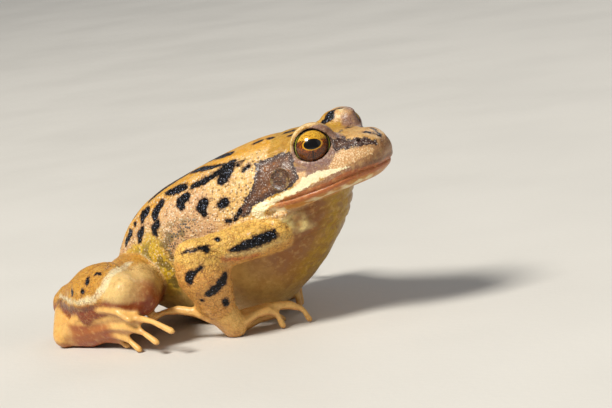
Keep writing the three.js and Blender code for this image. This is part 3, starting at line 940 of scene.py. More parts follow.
def paint_limbs(paint, surface, points, parts, side):
    sign = SIDES[side]
    own = ramp(-0.5, 0.5, points[:, 1] * sign)
    waver = noise(points, 2.5, SEED + 13)
    under = ramp(100, 140, np.abs(BONES["upper_arm", side].measure(points)[1]))
    paint.coat("arm", parts["arm"] * own)
    paint.coat("arm_under", parts["arm"] * own * under * 0.6)
    paint.coat("hand", parts["hand"] * own)
    for name, table in (("armpit", ARMPIT), ("arm_cream", ARM_CREAM)):
        path = [surface.on_limb(side, "upper_arm", *place[:2]) for place in table]
        paint.stroke(name, points, path, [place[2] for place in table], 0.5, 0.85)
    leg = (parts["thigh"] + parts["shank"]) * own
    paint.coat("leg", leg)
    ahead = points[:, 0] - joint_place("knee", side)[0]
    down_shank = np.clip(BONES["shank", side].measure(points)[0], 0, 1)
    # Painted shade: the leg's orange is laid deep on the front of the knee and low down on the leg.
    low = ramp(0.7, -0.7, points[:, 2] + 0.5 * waver - 9.9 + 3.7 * down_shank)
    # Cream over the knee, partly pale skin and partly painted highlight on its dome.
    paint.coat("arm_cream", leg * window(ahead, -4.5, 3, 2.0) * 0.7)
    paint.coat("knee", leg * np.maximum(ramp(-1.0, 4.0, ahead + 0.5 * waver), low))
    # Pale band over the knee and down the shank, partly painted highlight.
    path = [surface.on_limb(side, *place[:3]) for place in KNEE_CREAM_AND_HIGHLIGHT]
    paint.stroke("knee_cream_and_highlight", points, path, [place[3] for place in KNEE_CREAM_AND_HIGHLIGHT], 0.35)
    path = [surface.on_limb(side, "shank", *place[:2]) for place in SHANK_BAND]
    paint.stroke("shank_band", points, path, [place[2] for place in SHANK_BAND], 0.45, 0.9)
    # Painted shade: a dark line in the lowest crease of the shank, in the lid colour.
    path = [surface.on_limb(side, "shank", *place) for place in CREASES["shank"][-1]]
    paint.stroke("lid", points, path, 0.12, 0.2, 0.7)
    paint.coat("foot", parts["foot"] * own)
    paint.coat("digit", parts["digit"] * own)
    # Painted shade: the web's own orange, deepened along the side of the foot below the outer toe.
    past_instep = points[:, 0] - joint_place("instep", side)[0]
    beside = window(past_instep, 5.0, 12.0, 3.0) * ramp(5.8, 4.8, points[:, 2] + 0.5 * waver)
    beside = beside * (parts["foot"] + parts["digit"]) * own
    paint.coat("shaded_foot_side", beside * 0.85)
    paint.coat("shaded_sole", beside * ramp(0.0, 0.5, waver) * 0.6)


def base_colour(skin, surface, parts):
    points = skin.points
    paint = Paint(len(points), "back")
    paint_trunk(paint, surface, points, parts)
    paint_head(paint, points, parts)
    for side in SIDES:
        paint_limbs(paint, surface, points, parts, side)
    # Painted shade: the soles' red-brown, laid on faces of the feet and hands that point down.
    facing_down = ramp(0.1, 0.8, -skin.normals()[:, 2])
    under = parts["foot"] + 0.6 * parts["hand"] + 0.7 * parts["digit"]
    paint.coat("shaded_sole", under * facing_down * 0.8)
    return paint


# ---- Markings ----

# On the side of the head, as back from the snout tip and up from the plane of the jaws.
EAR_MASK = [
    (14.4, 8.2), (16.9, 8.5), (19.1, 8.3), (22.0, 8.4), (21.6, 7.0), (22.9, 4.5), (24.4, 3.2),
    (26.2, 1.8), (26.3, 0.2), (24.5, 0.0), (23.6, 1.3), (20.8, 1.8), (18.4, 2.2), (15.2, 2.3),
    (13.6, 3.4), (13.9, 5.8),
]
NOSE_STRIPE = [
    (7.6, 8.4), (6.7, 7.5), (5.9, 7.2), (4.8, 6.6), (3.8, 6.4), (2.6, 5.9), (1.8, 5.3),
    (1.0, 4.7), (0.7, 4.0), (1.0, 3.8), (1.9, 4.4), (2.9, 4.6), (4.3, 5.0), (5.3, 5.3),
    (6.5, 5.3), (7.3, 6.0),
]
PALE_CHEEK = [
    (6.7, 5.2), (5.0, 5.2), (3.3, 4.6), (1.9, 4.3), (1.2, 3.4), (1.5, 2.7), (2.7, 2.7),
    (4.4, 2.6), (6.2, 2.3), (7.9, 2.5), (8.1, 3.4), (7.2, 4.6),
]
LIP_STRIPE = [
    (4.6, 2.1), (6.5, 2.6), (8.6, 3.0), (10.7, 3.4), (12.8, 3.1), (14.3, 2.3), (16.2, 2.0), (18.4, 1.7),
    (20.4, 1.4), (20.0, 0.6), (16.4, 1.1), (13.3, 1.3), (10.0, 1.9), (7.1, 2.1),
]
GLAND = [
    (23.7, 1.2), (21.7, 1.7), (20.2, 1.6), (20.0, 0.5), (21.7, -0.2), (22.5, -1.1), (23.5, -0.9), (24.2, 0.1),
]
HEAD_MARKS = {"mask": [EAR_MASK, NOSE_STRIPE], "pale": [PALE_CHEEK], "cream": [LIP_STRIPE, GLAND]}

# Near-black spots. Each is one place or several joined up: two measures and a half width.
TRUNK_SPOTS = [
    # Along from the vent, and degrees round from the spine.
    [(38.5, 48, 1.1), (37.7, 54, 1.5), (36.8, 60, 1.2)],
    [(36.6, 52, 0.6), (34.4, 53, 0.55), (32.2, 54, 0.8), (29.6, 53, 0.65)],
    [(27.8, 49, 0.6), (26.2, 47, 0.95), (24.2, 45, 0.75), (22.4, 41, 0.45)],
    [(36.9, 46, 0.6), (34.8, 43, 0.6), (32.4, 38, 0.65), (30.4, 33, 0.8), (27.8, 27, 0.7)],
    [(25.8, 22, 1.0), (22.4, 22, 1.1), (18.8, 25, 0.9), (16.0, 28, 0.5)],
    [(37.4, 30, 0.7), (35.0, 26, 1.1), (33.0, 19, 0.9), (30.6, 14, 1.1)],
    [(28.0, 60, 1.1), (26.6, 61, 1.2), (26.8, 66, 0.8)],
    [(32.0, 73, 1.0), (31.1, 74, 1.0), (31.2, 80, 0.7)],
    [(36.0, 80, 0.9), (35.3, 80, 0.85)],
    [(20.9, 50, 1.1), (19.3, 53, 1.2), (19.2, 58, 0.9)],
    [(19.4, 66, 0.9), (18.2, 67, 1.0), (18.2, 71, 0.8)],
    [(16.4, 44, 0.9), (15.0, 46, 1.0), (14.8, 50, 0.7)],
    [(14.4, 60, 0.8), (13.2, 62, 0.9), (13.0, 66, 0.7)],
    [(12.1, 46, 0.5)],
    [(10.0, 49, 0.9), (8.4, 53, 0.9)],
    [(12.8, 18, 0.8), (10.6, 22, 0.9)],
    [(5.6, 30, 0.7), (4.6, 40, 0.6)],
    [(42.4, 58, 0.4), (41.2, 60, 0.5)],
    [(41.2, 52, 0.35), (40.0, 52, 0.45)],
    [(43.4, 25, 0.5), (42.3, 27, 0.45)],
    [(38.2, 92, 0.45), (36.6, 96, 0.4), (35.0, 94, 0.3)],
]
FLANK_SMUDGES = [
    [(28.5, 82, 0.7), (26.0, 82, 1.3), (24.0, 83, 1.5), (21.8, 86, 1.2), (20.2, 96, 0.9)],
]
CROWN_SPOTS = [
    # Back from the snout, and out from the midline.
    [(17.8, 2.2, 0.4), (16.6, 1.6, 0.5)],
    [(16.0, 3.9, 0.3), (14.8, 3.7, 0.4)],
    [(21.0, 3.0, 0.4), (20.2, 3.4, 0.5)],
    [(2.7, 1.4, 0.25), (2.1, 1.1, 0.25)],
    [(1.6, 0.6, 0.2), (0.9, 0.2, 0.25)],
]
BROW_SPOTS = [
    # On the left brow only.
    [(12.2, 2.6, 0.7), (11.4, 3.1, 1.0), (10.9, 3.9, 0.6)],
    [(10.4, 4.9, 0.35), (9.5, 5.2, 0.4)],
    [(7.6, 1.8, 0.25), (7.0, 1.2, 0.25)],
]
LIMB_SPOTS = {
    # Along the bone from its upper joint, and degrees round from its top.
    "upper_arm": [
        [(0.6, -90, 0.35), (0.45, -88, 0.75), (0.25, -83, 1.05), (0.06, -76, 0.9)],
        [(0.71, -43, 0.5)],
        [(0.88, -67, 0.65), (0.95, -63, 0.55)],
        [(0.98, -64, 0.3), (1.08, -56, 0.25), (1.16, -50, 0.2)],
    ],
    "forearm": [
        [(0.24, 168, 0.85), (0.17, 158, 0.8), (0.12, 135, 0.4), (0.09, 112, 0.25)],
        [(0.6, 138, 0.65), (0.56, 118, 0.8), (0.5, 90, 0.85), (0.44, 78, 0.6)],
        [(0.88, 100, 0.6), (0.95, 103, 0.5)],
        [(0.7, 172, 0.35)],
    ],
    "shank": [
        [(0.27, -47, 0.35), (0.25, -54, 0.5)],
        [(0.27, -73, 0.5)],
        [(0.4, -77, 0.6), (0.43, -73, 0.4)],
        [(0.23, -31, 0.35), (0.2, -28, 0.3)],
        [(0.83, -8, 0.8), (0.8, 14, 0.9)],
        [(0.55, -10, 0.5), (0.52, 8, 0.6), (0.5, 30, 0.4)],
    ],
}
SHANK_BAND = [
    (0.95, -104, 0.4),
    (0.84, -101, 0.7),
    (0.74, -106, 0.75),
    (0.63, -100, 0.8),
    (0.52, -106, 0.75),
    (0.4, -101, 0.6),
    (0.28, -105, 0.4),
    (0.15, -103, 0.2),
]


class Markings:
    """How far inside each kind of marking the skin's points lie, in millimetres."""

    def __init__(self, points):
        self.points = points
        self.depth = {}

    def add(self, kind, depth):
        before = self.depth.get(kind, np.full(len(self.points), -REACH))
        self.depth[kind] = np.maximum(before, depth)

    def spots(self, kind, table, place):
        for spot in table:
            path = [place(*entry[:2]) for entry in spot]
            self.add(kind, inside_stroke(self.points, path, [entry[2] for entry in spot]))

    def outline(self, kind, outline):
        for sign in SIDES.values():
            back, out, up = HEAD.measure(self.points).T
            depth = inside_outline(np.column_stack([back, up]), outline)
            self.add(kind, np.where(out * sign > -0.3, depth, -REACH))


def lay_markings(skin, surface):
    """Lays all the markings. The left side's stray a little, so that it isn't the right's mirror image."""
    marks = Markings(skin.points)
    rng = np.random.default_rng(SEED)
    for side in SIDES:
        shift = rng.uniform(-1.4, 1.4) if side == "left" else 0
        turn = rng.uniform(-5, 5) if side == "left" else 0
        on_trunk = lambda along, around: surface.on_trunk(side, along + shift, around + turn)
        marks.spots("dark", TRUNK_SPOTS, on_trunk)
        marks.spots("smudge", FLANK_SMUDGES, on_trunk)
        marks.spots("dark", CROWN_SPOTS, lambda back, out: surface.on_crown(side, back + shift / 2, out))
        for limb, table in LIMB_SPOTS.items():
            place = lambda along, around: surface.on_limb(side, limb, along + shift / 30, around + turn)
            marks.spots("dark", table, place)
    marks.spots("dark", BROW_SPOTS, lambda back, out: surface.on_crown("left", back, out))
    for kind, outlines in HEAD_MARKS.items():
        for outline in outlines:
            marks.outline(kind, outline)
    return marks.depth


EYELID_GREY = 5.2  # how far from the eye's middle the grey skin reaches, below and in front
LID_EDGE = 3.6  # how far from it the painted shade at the upper lid's inner edge reaches
LID_CREST = 3.9  # and where its pale crest runs


def eye_skin(points):
    """The grey skin round the eyes, the upper lids' pale crest and the painted shade along the lids' inner
    edge.
    """
    grey, pale, dark = np.zeros((3, len(points)))
    for side in SIDES:
        offset = points - EYES[side]
        depth = offset @ GAZE[side]
        across = length(offset - depth[:, None] * GAZE[side])
        near = length(offset)
        lift = (offset @ HEAD.turn[:, 2]) / np.maximum(across, 0.5)
        ahead = -(offset @ HEAD.turn[:, 0]) / np.maximum(across, 0.5)
        above = ramp(-0.1, 0.5, lift)
        reach = EYELID_GREY + 0.9 * ramp(0.2, 0.9, ahead) - 1.4 * above
        front = ramp(-2.2, -1.4, depth + 1.5 * (1 - above))
        grey = np.maximum(grey, (1 - ramp(reach - 1.2 + 0.8 * above, reach, near)) * front)
        # Painted shade along the inner edge of the lids, next to the eyeball.
        dark = np.maximum(dark, (1 - ramp(LID_EDGE - 0.25, LID_EDGE, near)) * front)
        crest = bump_at(across - LID_CREST, 0.1) * ramp(0.0, 0.4, lift) * (depth > -1)
        pale = np.maximum(pale, crest * ramp(0.75, 0.35, ahead))
    return grey, pale, dark


def paint_face(paint, points, depth):
    """The skin round the eyes, with painted shade at the lids' inner edge, the eardrums and the glands behind
    the mouth.
    """
    # The colour named lid is painted shade here, along the lids' inner edge.
    for name, share, strength in zip(("under_eye", "cream", "lid"), eye_skin(points), (0.9, 0.7, 0.8)):
        paint.coat(name, strength * share)
    for side in SIDES:
        away = from_eardrum(points, side)
        paint.coat("ear", 1 - ramp(1.9, 2.2, away))
        paint.coat("ear_middle", ramp(2.2, 1.2, away) * 0.7)
        depth["mask"] = np.where(away < 2.1, np.minimum(depth["mask"], away - 2.1), depth["mask"])
    back = HEAD.measure(points)[:, 0]
    paint.coat("gland", ramp(18.5, 22.0, back) * ramp(-0.3, 0.1, depth["cream"]))


def skin_grades(points, parts):
    """Where the granules, olive marbling, mottled throat and cracked leather lie, each 0 to 1."""
    along, around = trunk_polar(points)
    wavering = around + 5 * noise(points, 4.0, SEED + 21)
    trunk = parts["trunk"]
    flank = window(wavering, 48, 118, 14) * (1 - 0.6 * window(along, 1, 17, 4) * window(around, 70, 126, 10))
    granule = (flank + 0.25) * (1 - ramp(104, 122, around)) * trunk
    marble = trunk * window(along, 4, 25, 4) * window(wavering, 82, 124, 12)
    mottle = trunk * ramp(30, 38, along) * ramp(100, 116, around)
    mottle += parts["jaw"] * ramp(-1.5, -3.0, HEAD.measure(points)[:, 2])
    leather = 0.5 * parts["head"] + parts["arm"] + parts["shank"] + parts["thigh"] + 0.5 * parts["hand"]
    for side in SIDES:
        leather *= 1 - 0.85 * ramp(8.0, 5.5, length(points - joint_place("knee", side)))
    return {"granule": granule, "marble": marble, "mottle": mottle, "leather": leather}


def colour_skin(skin, surface, parts):
    """Writes the base colour, the markings and the kinds of skin as attributes."""
    paint = base_colour(skin, surface, parts)
    depth = lay_markings(skin, surface)
    paint_face(paint, skin.points, depth)
    write_attribute(skin.mesh, "base", np.column_stack([paint.colour, np.ones(len(skin.points))]))
    for kind, inside in depth.items():
        write_attribute(skin.mesh, kind, inside)
    for grade, share in skin_grades(skin.points, parts).items():
        write_attribute(skin.mesh, grade, np.clip(share, 0, 1))


# ---- Materials ----


class Wire:
    """A node's output. Sums and products of wires and numbers add the nodes that work them out."""

    def __init__(self, shader, socket):
        self.shader = shader
        self.socket = socket

    def __add__(self, other):
        return self.shader.math("ADD", self, other)

    def __sub__(self, other):
        return self.shader.math("SUBTRACT", self, other)

    def __mul__(self, other):
        return self.shader.math("MULTIPLY", self, other)


class Shader:
    """A material made of nodes, with a short call for each kind of node. Sizes are in mm."""

    def __init__(self, name):
        self.material = bpy.data.materials.new(name)
        self.material.use_nodes = True
        self.tree = self.material.node_tree
        self.tree.nodes.clear()
        place = self.node("TexCoord", "Object", {})
        self.place = self.node("VectorMath", 0, {0: place, "Scale": 1 / MM}, operation="SCALE")

    def node(self, kind, output, inputs, **settings):
        """Adds a node. Each input is a wire to link or a plain value. Hands back one output."""
        node = self.tree.nodes.new("ShaderNode" + kind)
        for name, value in settings.items():
            setattr(node, name, value)
        for name, value in inputs.items():
            if isinstance(value, Wire):
                self.tree.links.new(value.socket, node.inputs[name])
            else:
                node.inputs[name].default_value = value
        return Wire(self, node.outputs[output])

    def attribute(self, name, output="Fac"):
        return self.node("Attribute", output, {}, attribute_name=name)

    def math(self, operation, first, second=0.0):
        return self.node("Math", 0, {0: first, 1: second}, operation=operation)

    def length(self, across, up):
        return self.math("SQRT", across * across + up * up)

    def step(self, low, high, value, bottom=0.0, top=1.0):
        """bottom below low, top above high, and smooth between."""
        ends = {"From Min": low, "From Max": high, "To Min": bottom, "To Max": top}
        return self.node("MapRange", "Result", {"Value": value, **ends}, interpolation_type="SMOOTHSTEP")

    def mix(self, share, first, second):
        return self.node("Mix", 2, {0: share, 6: first, 7: second}, data_type="RGBA")

    def coat(self, share, colour):
        """Lays a colour over the material's colour so far."""
        self.colour = self.mix(share, self.colour, colour)

    def noise(self, size, detail, output="Fac"):
        return self.node("TexNoise", output, {"Vector": self.place, "Scale": 1 / size, "Detail": detail})

    def cells(self, size):
        """Pebbles of about size millimetres: the distance from each middle, and a random tone."""
        distance = self.node("TexVoronoi", "Distance", {"Vector": self.place, "Scale": 1 / size})
        colour = Wire(self, distance.socket.node.outputs["Color"])
        return distance, self.node("SeparateColor", 0, {0: colour})

    def cracks(self, size):
        """How far each point lies from the edges of uneven plates of about size millimetres."""
        mixing = {"data_type": "RGBA", "blend_type": "LINEAR_LIGHT"}
        moved = self.node("Mix", 2, {0: 0.5, 6: self.place, 7: self.noise(size, 2, "Color")}, **mixing)
        return self.node("TexVoronoi", 0, {"Vector": moved, "Scale": 1 / size}, feature="DISTANCE_TO_EDGE")

    def finish(self, roughness, height, shine=0.5, **uniform):
        """The surface, from its colour, roughness, relief in millimetres and uniform values."""
        normal = self.node("Bump", "Normal", {"Distance": MM, "Strength": 1.0, "Height": height})
        inputs = {"Base Color": self.colour, "Roughness": roughness, "Normal": normal}
        inputs["Specular IOR Level"] = shine
        inputs.update({name.replace("_", " "): value for name, value in uniform.items()})
        surface = self.node("BsdfPrincipled", 0, inputs)
        output = self.tree.nodes.new("ShaderNodeOutputMaterial")
        self.tree.links.new(surface.socket, output.inputs["Surface"])
        return self.material


OCHRE_DEEP = srgb(150, 96, 34)
OCHRE_LIGHT = srgb(230, 190, 120)
OLIVE = srgb(104, 92, 50)
THROAT_BROWN = srgb(134, 86, 44)
CRACK_BROWN = srgb(140, 82, 30)
# Cream granules: partly the skin's pale granules, partly painted highlight on wet granules.
SPECK_CREAM_AND_HIGHLIGHT = srgb(240, 222, 190)
SPECK_BROWN = srgb(128, 92, 62)
SOOT = srgb(46, 44, 48)
PALE_BROWN = srgb(206, 158, 104)
PALE_CREAM = srgb(240, 212, 166)
CREAM = srgb(247, 234, 192)
MASK_BROWN = srgb(108, 70, 44)
MASK_DARK = srgb(60, 38, 32)
MASK_WARM = srgb(150, 94, 40)
# Painted highlight: pale glints on the granules of the brown mask.
MASK_PAINTED_GLINT = srgb(205, 190, 178)
SPOT_BROWN = srgb(96, 56, 30)
SPOT_BLACK = srgb(10, 7, 9)
# Painted highlight: the bluish glint on wet granules of the black spots.
SPOT_PAINTED_GLINT = srgb(150, 160, 186)


class SkinShader(Shader):
    """The skin: the painted base colour, broken up by noise, with the markings laid over it."""

    def __init__(self):
        super().__init__("frog_skin")
        self.broad = self.noise(3.2, 3)
        self.middle = self.noise(0.9, 3)
        self.fine = self.noise(0.28, 3)
        self.pebble, self.pebble_tone = self.cells(0.46)
        # Small cells: the painted highlights on the mask and the spots, and the freckles of the pale cheek.
        self.glint, self.glint_tone = self.cells(0.3)
        self.crack = self.cracks(0.7)
        self.granule = self.attribute("granule")
        self.leather = self.attribute("leather")
        self.ragged = (self.middle - 0.5) * 1.1 + (self.fine - 0.5) * 0.5
        self.colour = self.attribute("base", "Color")

    def inside(self, marking):
        """How deep inside a kind of marking, with a ragged edge."""
        return self.attribute(marking) + self.ragged

    def lay_ground(self):
        """Ochre clouds, olive marbling in the groin, brown mottling under the throat, and cracks."""
        self.coat(self.step(0.5, 0.72, self.broad, 0, 0.3), OCHRE_DEEP)
        self.coat(self.step(0.5, 0.7, self.middle, 0, 0.22), OCHRE_DEEP)
        self.coat(self.step(0.5, 0.32, self.middle, 0, 0.25), OCHRE_LIGHT)
        self.coat(self.step(0.4, 0.75, self.fine, 0, 0.2), OCHRE_DEEP)
        olive = self.step(0.47, 0.56, self.noise(2.3, 3), 0, 0.75)
        self.coat(olive * self.attribute("marble"), OLIVE)
        mottle = self.step(0.46, 0.6, self.noise(1.7, 3), 0, 0.5)
        self.coat(mottle * self.attribute("mottle"), THROAT_BROWN)
        in_crack = self.step(0.11, 0.01, self.crack, 0, 0.75) * self.leather
        self.coat(in_crack * self.step(0.4, 0.6, self.middle, 0.3, 1.0), CRACK_BROWN)

    def lay_pebbles(self):
        """Cream and brown granules on the flanks, the cream partly pale skin and partly painted highlight on
        wet granules, and sooty ones in the smudge.
        """
        pebble = self.step(0.62, 0.3, self.pebble) * self.granule
        # Cream on some granules, partly painted highlight on wet granules.
        self.coat(self.step(0.5, 0.8, self.pebble_tone, 0, 0.75) * pebble, SPECK_CREAM_AND_HIGHLIGHT)
        self.coat(self.step(0.42, 0.12, self.pebble_tone, 0, 0.75) * pebble, SPECK_BROWN)
        sooty = self.step(0.3, 0.55, self.pebble_tone, 0, 0.85) * self.step(0.66, 0.4, self.pebble)
        self.coat(self.step(-0.8, 0.8, self.attribute("smudge")) * sooty, SOOT)

    def lay_cheek(self):
        """The pale freckled cheek and the cream stripe along the lip."""
        freckled = self.mix(self.step(0.6, 0.25, self.glint, 0, 0.8), PALE_BROWN, PALE_CREAM)
        self.coat(self.step(-0.1, 0.15, self.inside("pale"), 0, 0.95), freckled)
        self.coat(self.step(-0.12, 0.12, self.inside("cream"), 0, 0.92), CREAM)

    def lay_mask(self):
        """The brown mask behind the eye and the stripe before it, with painted pale highlights on its
        granules.
        """
        depth = self.inside("mask")
        mask = self.mix(self.step(0.2, 1.3, depth), MASK_DARK, MASK_BROWN)
        mask = self.mix(self.step(0.45, 0.7, self.broad, 0, 0.5), mask, MASK_DARK)
        warm = self.step(0.54, 0.66, self.noise(1.5, 2), 0, 0.7) * self.step(0.7, 1.3, depth)
        mask = self.mix(warm, mask, MASK_WARM)
        # Painted highlights: pale glints on some granules of the mask.
        glint = self.step(0.5, 0.2, self.glint) * self.step(0.5, 0.7, self.glint_tone, 0, 0.75)
        self.coat(self.step(-0.1, 0.15, depth), self.mix(glint, mask, MASK_PAINTED_GLINT))

    def lay_spots(self):
        """Black spots with a brown fringe and painted bluish highlights on some granules. Hands back where
        they lie.
        """
        depth = self.inside("dark")
        self.coat(self.step(-0.4, 0.0, depth, 0, 0.75), SPOT_BROWN)
        # Painted highlights: bluish glints on some granules inside the spots.
        glint = self.step(0.45, 0.15, self.glint) * self.step(0.56, 0.74, self.glint_tone, 0, 0.9)
        spot = self.mix(glint * self.step(0.1, 0.5, depth), SPOT_BLACK, SPOT_PAINTED_GLINT)
        dark = self.step(-0.06, 0.14, depth)
        self.coat(dark, spot)
        return dark

    def relief(self):
        """Granules, leathery plates and grain, in millimetres."""
        granules = self.step(0.6, 0.1, self.pebble) * (self.granule * 0.09 + self.leather * 0.02 + 0.02)
        plates = self.step(0.02, 0.2, self.crack, 0, 0.07) * self.leather
        return granules + plates + self.fine * 0.045 + self.middle * 0.05


def skin_material():
    shader = SkinShader()
    shader.lay_ground()
    shader.lay_pebbles()
    shader.lay_cheek()
    shader.lay_mask()
    dark = shader.lay_spots()
    return shader.finish(
        shader.step(0.35, 0.7, shader.fine, 0.36, 0.52) + dark * -0.12,
        shader.relief(),
        dark * -0.3 + 0.45,
        Subsurface_Weight=0.15,
        Subsurface_Radius=(1.2, 0.5, 0.25),
        Subsurface_Scale=MM,
        Coat_Weight=0.14,
        Coat_Roughness=0.2,
    )


IRIS_RADIUS = 2.6
IRIS_NARROWING = 0.93  # the iris is a little longer than it is tall
PUPIL_MIDDLE = (0.2, 0.2)  # towards the snout, and up
PUPIL_HALF = (1.54, 0.91)
IRIS_GOLD = srgb(208, 150, 30)
IRIS_PALE = srgb(240, 202, 84)
IRIS_COPPER = srgb(138, 70, 14)
IRIS_ORANGE = srgb(206, 104, 20)
IRIS_DARK = srgb(24, 10, 3)
EYE_BLACK = srgb(12, 10, 10)
RING_GREEN = srgb(176, 184, 60)


def eye_material():
    """Rings and flecks, from how far ahead and up of the gaze each point of the ball lies."""
    shader = Shader("frog_eye")
    step, mix, coat = shader.step, shader.mix, shader.coat
    ahead = shader.attribute("ahead")
    up = shader.attribute("up")
    pupil = [(way - PUPIL_MIDDLE[k]) * (1 / PUPIL_HALF[k]) for k, way in enumerate((ahead, up))]
    oval = shader.length(*pupil)
    fine = shader.noise(0.12, 4)
    fleck = shader.noise(0.3, 3)
    ragged = (fleck - 0.5) * 0.9

    shader.colour = mix(step(0.42, 0.62, fine), IRIS_DARK, IRIS_COPPER)
    coat(step(0.45, 0.65, fleck, 0, 0.8) * step(1.9, 1.1, oval), IRIS_ORANGE)
    gold = mix(step(0.45, 0.7, fine), IRIS_GOLD, IRIS_PALE)
    gold = mix(step(0.55, 0.64, fleck, 0, 0.8), gold, IRIS_COPPER)
    gold = mix(step(0.42, 0.36, fine, 0, 0.85), gold, IRIS_DARK)
    coat(step(0.75, 1.15, up + ragged), gold)
    slit = step(0.22, 0.08, shader.math("ABSOLUTE", ahead - 0.25)) * step(-0.5, -0.7, up, 0, 0.8)
    coat(slit, IRIS_DARK)
    coat(step(1.22, 1.14, oval) * step(-0.1, 0.5, fleck), IRIS_GOLD)
    coat(step(1.05, 0.99, oval), EYE_BLACK)
    from_middle = shader.length(ahead * IRIS_NARROWING, up) + ragged * 0.2
    coat(step(IRIS_RADIUS - 0.1, IRIS_RADIUS + 0.12, from_middle), EYE_BLACK)
    on_ball = shader.length(ahead, up)
    ring = step(2.98, 3.04, on_ball) * step(3.2, 3.14, on_ball) * step(2.5, 1.6, up, 0, 0.7)
    coat(ring, RING_GREEN)
    roughness = step(0.4, 0.7, fine, 0.16, 0.24)
    return shader.finish(roughness, fine * 0.01, 0.2, Coat_Weight=0.6, Coat_Roughness=0.03)


def floor_material():
    shader = Shader("studio_floor")
    cloud = shader.noise(60, 3)
    shader.colour = shader.mix(cloud, srgb(210, 207, 200), srgb(218, 215, 209))
    return shader.finish(shader.step(0.3, 0.7, cloud, 0.55, 0.7), shader.noise(1.5, 3) * 0.05)


# ---- Eyes ----

BALL_RADIUS = 3.27
CORNEA_RISE = 0.03
IRIS_TILT = math.radians(12)  # how far the pupil leans nose down from the line of the jaws
BALL_RINGS = 48
BALL_SIDES = 96


def eyeball(side):
    """A ball with a slightly raised cornea, with its poles along the gaze."""
    gaze = GAZE[side]
    up = unit(HEAD.turn[:, 2] - gaze * (gaze @ HEAD.turn[:, 2]))
    ahead = -unit(HEAD.turn[:, 0] - gaze * (gaze @ HEAD.turn[:, 0]))
    mesh = bpy.data.meshes.new(f"eyeball_{side}")
    ball = bmesh.new()
    bmesh.ops.create_uvsphere(ball, u_segments=BALL_SIDES, v_segments=BALL_RINGS, radius=MM)
    ball.to_mesh(mesh)
    ball.free()
    shape = Shape(mesh)
    radius = BALL_RADIUS + CORNEA_RISE * ramp(0.55, 1.0, shape.points[:, 2:])
    # The ball is turned, not mirrored, so its first axis is across the gaze and its own up.
    points = (shape.points * radius) @ np.array([np.cross(up, gaze), up, gaze])
    shape.points = points + EYES[side]
    shape.write_points()
    mesh.shade_smooth()
    write_attribute(mesh, "ahead", points @ (math.cos(IRIS_TILT) * ahead - math.sin(IRIS_TILT) * up))
    write_attribute(mesh, "up", points @ (math.sin(IRIS_TILT) * ahead + math.cos(IRIS_TILT) * up))
    return new_object(mesh.name, mesh)


# ---- Camera, floor and light ----

VIEW_AZIMUTH = math.radians(32)
VIEW_ELEVATION = math.radians(9)
VIEW_ROLL = math.radians(8)
VIEW_DISTANCE = 400.0
LENS = 134.0
SENSOR = 36.0
# The middle of the picture, as seen by the camera, from a point just above the tip of the snout.
AIM_HEIGHT = 29.5
AIM_BACK = 0.37
AIM_RIGHT = -15.09
AIM_UP = -9.12


def camera_directions():
    """The camera's right, up and back directions, with the picture rolled."""
    sin_a, cos_a = math.sin(VIEW_AZIMUTH), math.cos(VIEW_AZIMUTH)
    sin_e, cos_e = math.sin(VIEW_ELEVATION), math.cos(VIEW_ELEVATION)
    back = np.array([sin_a * cos_e, -cos_a * cos_e, sin_e])
    right = np.array([cos_a, sin_a, 0])
    up = np.cross(back, right)
    sin_r, cos_r = math.sin(VIEW_ROLL), math.cos(VIEW_ROLL)
    return right * cos_r - up * sin_r, right * sin_r + up * cos_r, back


def place_camera():
    right, up, back = camera_directions()
    snout = np.array([HEAD.origin[0] - AIM_BACK, 0, AIM_HEIGHT])
    place = snout + AIM_RIGHT * right + AIM_UP * up + VIEW_DISTANCE * back
    camera = new_object("camera", bpy.data.cameras.new("camera"))
    camera.data.lens = LENS
    camera.data.sensor_width = SENSOR
    camera.data.clip_start = 0.01
    camera.data.clip_end = 10
    turn = Matrix(np.column_stack([right, up, back]).tolist()).to_4x4()
    camera.matrix_world = Matrix.Translation(Vector(place * MM)) @ turn
    bpy.context.scene.camera = camera


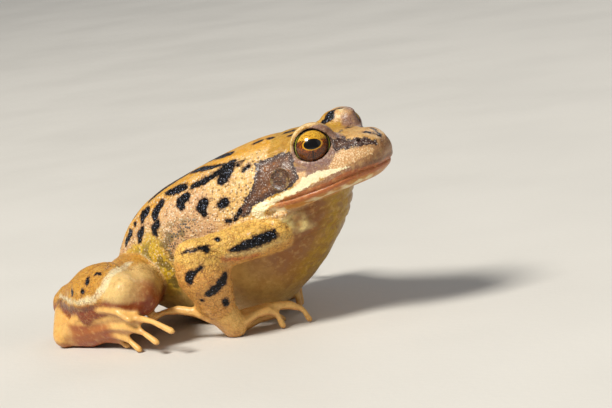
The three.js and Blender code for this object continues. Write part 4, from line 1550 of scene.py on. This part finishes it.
# Square soft lights: side and distance in metres, power, direction from the frog as right, up and
# back in the picture, and colour.
LIGHTS = {
    "key": (0.5, 1.8, 42.0, (-0.75, 0.78, 0.62), (1.0, 0.96, 0.88)),
    "fill": (1.5, 2.2, 2.5, (0.8, 0.5, 0.7), (1.0, 0.95, 0.88)),
    "rim": (0.8, 2.0, 5.0, (0.3, 0.9, -0.8), (1.0, 1.0, 1.0)),
}


def area_light(name):
    """A light aimed at the middle of the frog."""
    size, distance, power, direction, colour = LIGHTS[name]
    light = new_object(name, bpy.data.lights.new(name, "AREA"))
    light.data.size = size
    light.data.energy = power
    light.data.color = colour
    light.location = distance * unit(direction @ np.array(camera_directions()))
    light.rotation_mode = "QUATERNION"
    target = (cad_box[0] + cad_box[1]) / 2
    light.rotation_quaternion = (light.location - target).to_track_quat("Z", "Y")


# ---- The finished frog ----


def dress(piece, material, nodes):
    piece.data.materials.append(material)
    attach(piece, "root")
    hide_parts(*nodes)


def make_skin():
    mesh = mesh_from("skin", *largest_piece(*skin_surface()))
    refine_head(mesh)
    skin = Shape(mesh)
    surface = Surface(skin)
    parts = part_shares(skin)
    sculpt(skin, surface, parts)
    colour_skin(skin, surface, parts)
    mesh.shade_smooth()
    dress(new_object("frog_skin", mesh), skin_material(), FLESH_NODES)


def make_eyes():
    material = eye_material()
    for side in SIDES:
        dress(eyeball(side), material, [f"eye_{side}"])


FLOOR_SIZE = 12000


def make_floor():
    corners = FLOOR_SIZE / 2 * np.array([(-1, -1, 0), (1, -1, 0), (1, 1, 0), (-1, 1, 0)])
    floor = new_object("floor", mesh_from("floor", corners, np.array([[0, 1, 2, 3]])))
    floor.data.materials.append(floor_material())


WORLD_COLOUR = (0.86, 0.88, 0.92, 1)
WORLD_STRENGTH = 0.2


def light_scene():
    world = bpy.data.worlds.new("studio")
    world.use_nodes = True
    background = world.node_tree.nodes["Background"]
    background.inputs["Color"].default_value = WORLD_COLOUR
    background.inputs["Strength"].default_value = WORLD_STRENGTH
    bpy.context.scene.world = world
    bpy.context.scene.view_settings.view_transform = "Standard"
    for name in LIGHTS:
        area_light(name)


make_skin()
make_eyes()
make_floor()
light_scene()
place_camera()
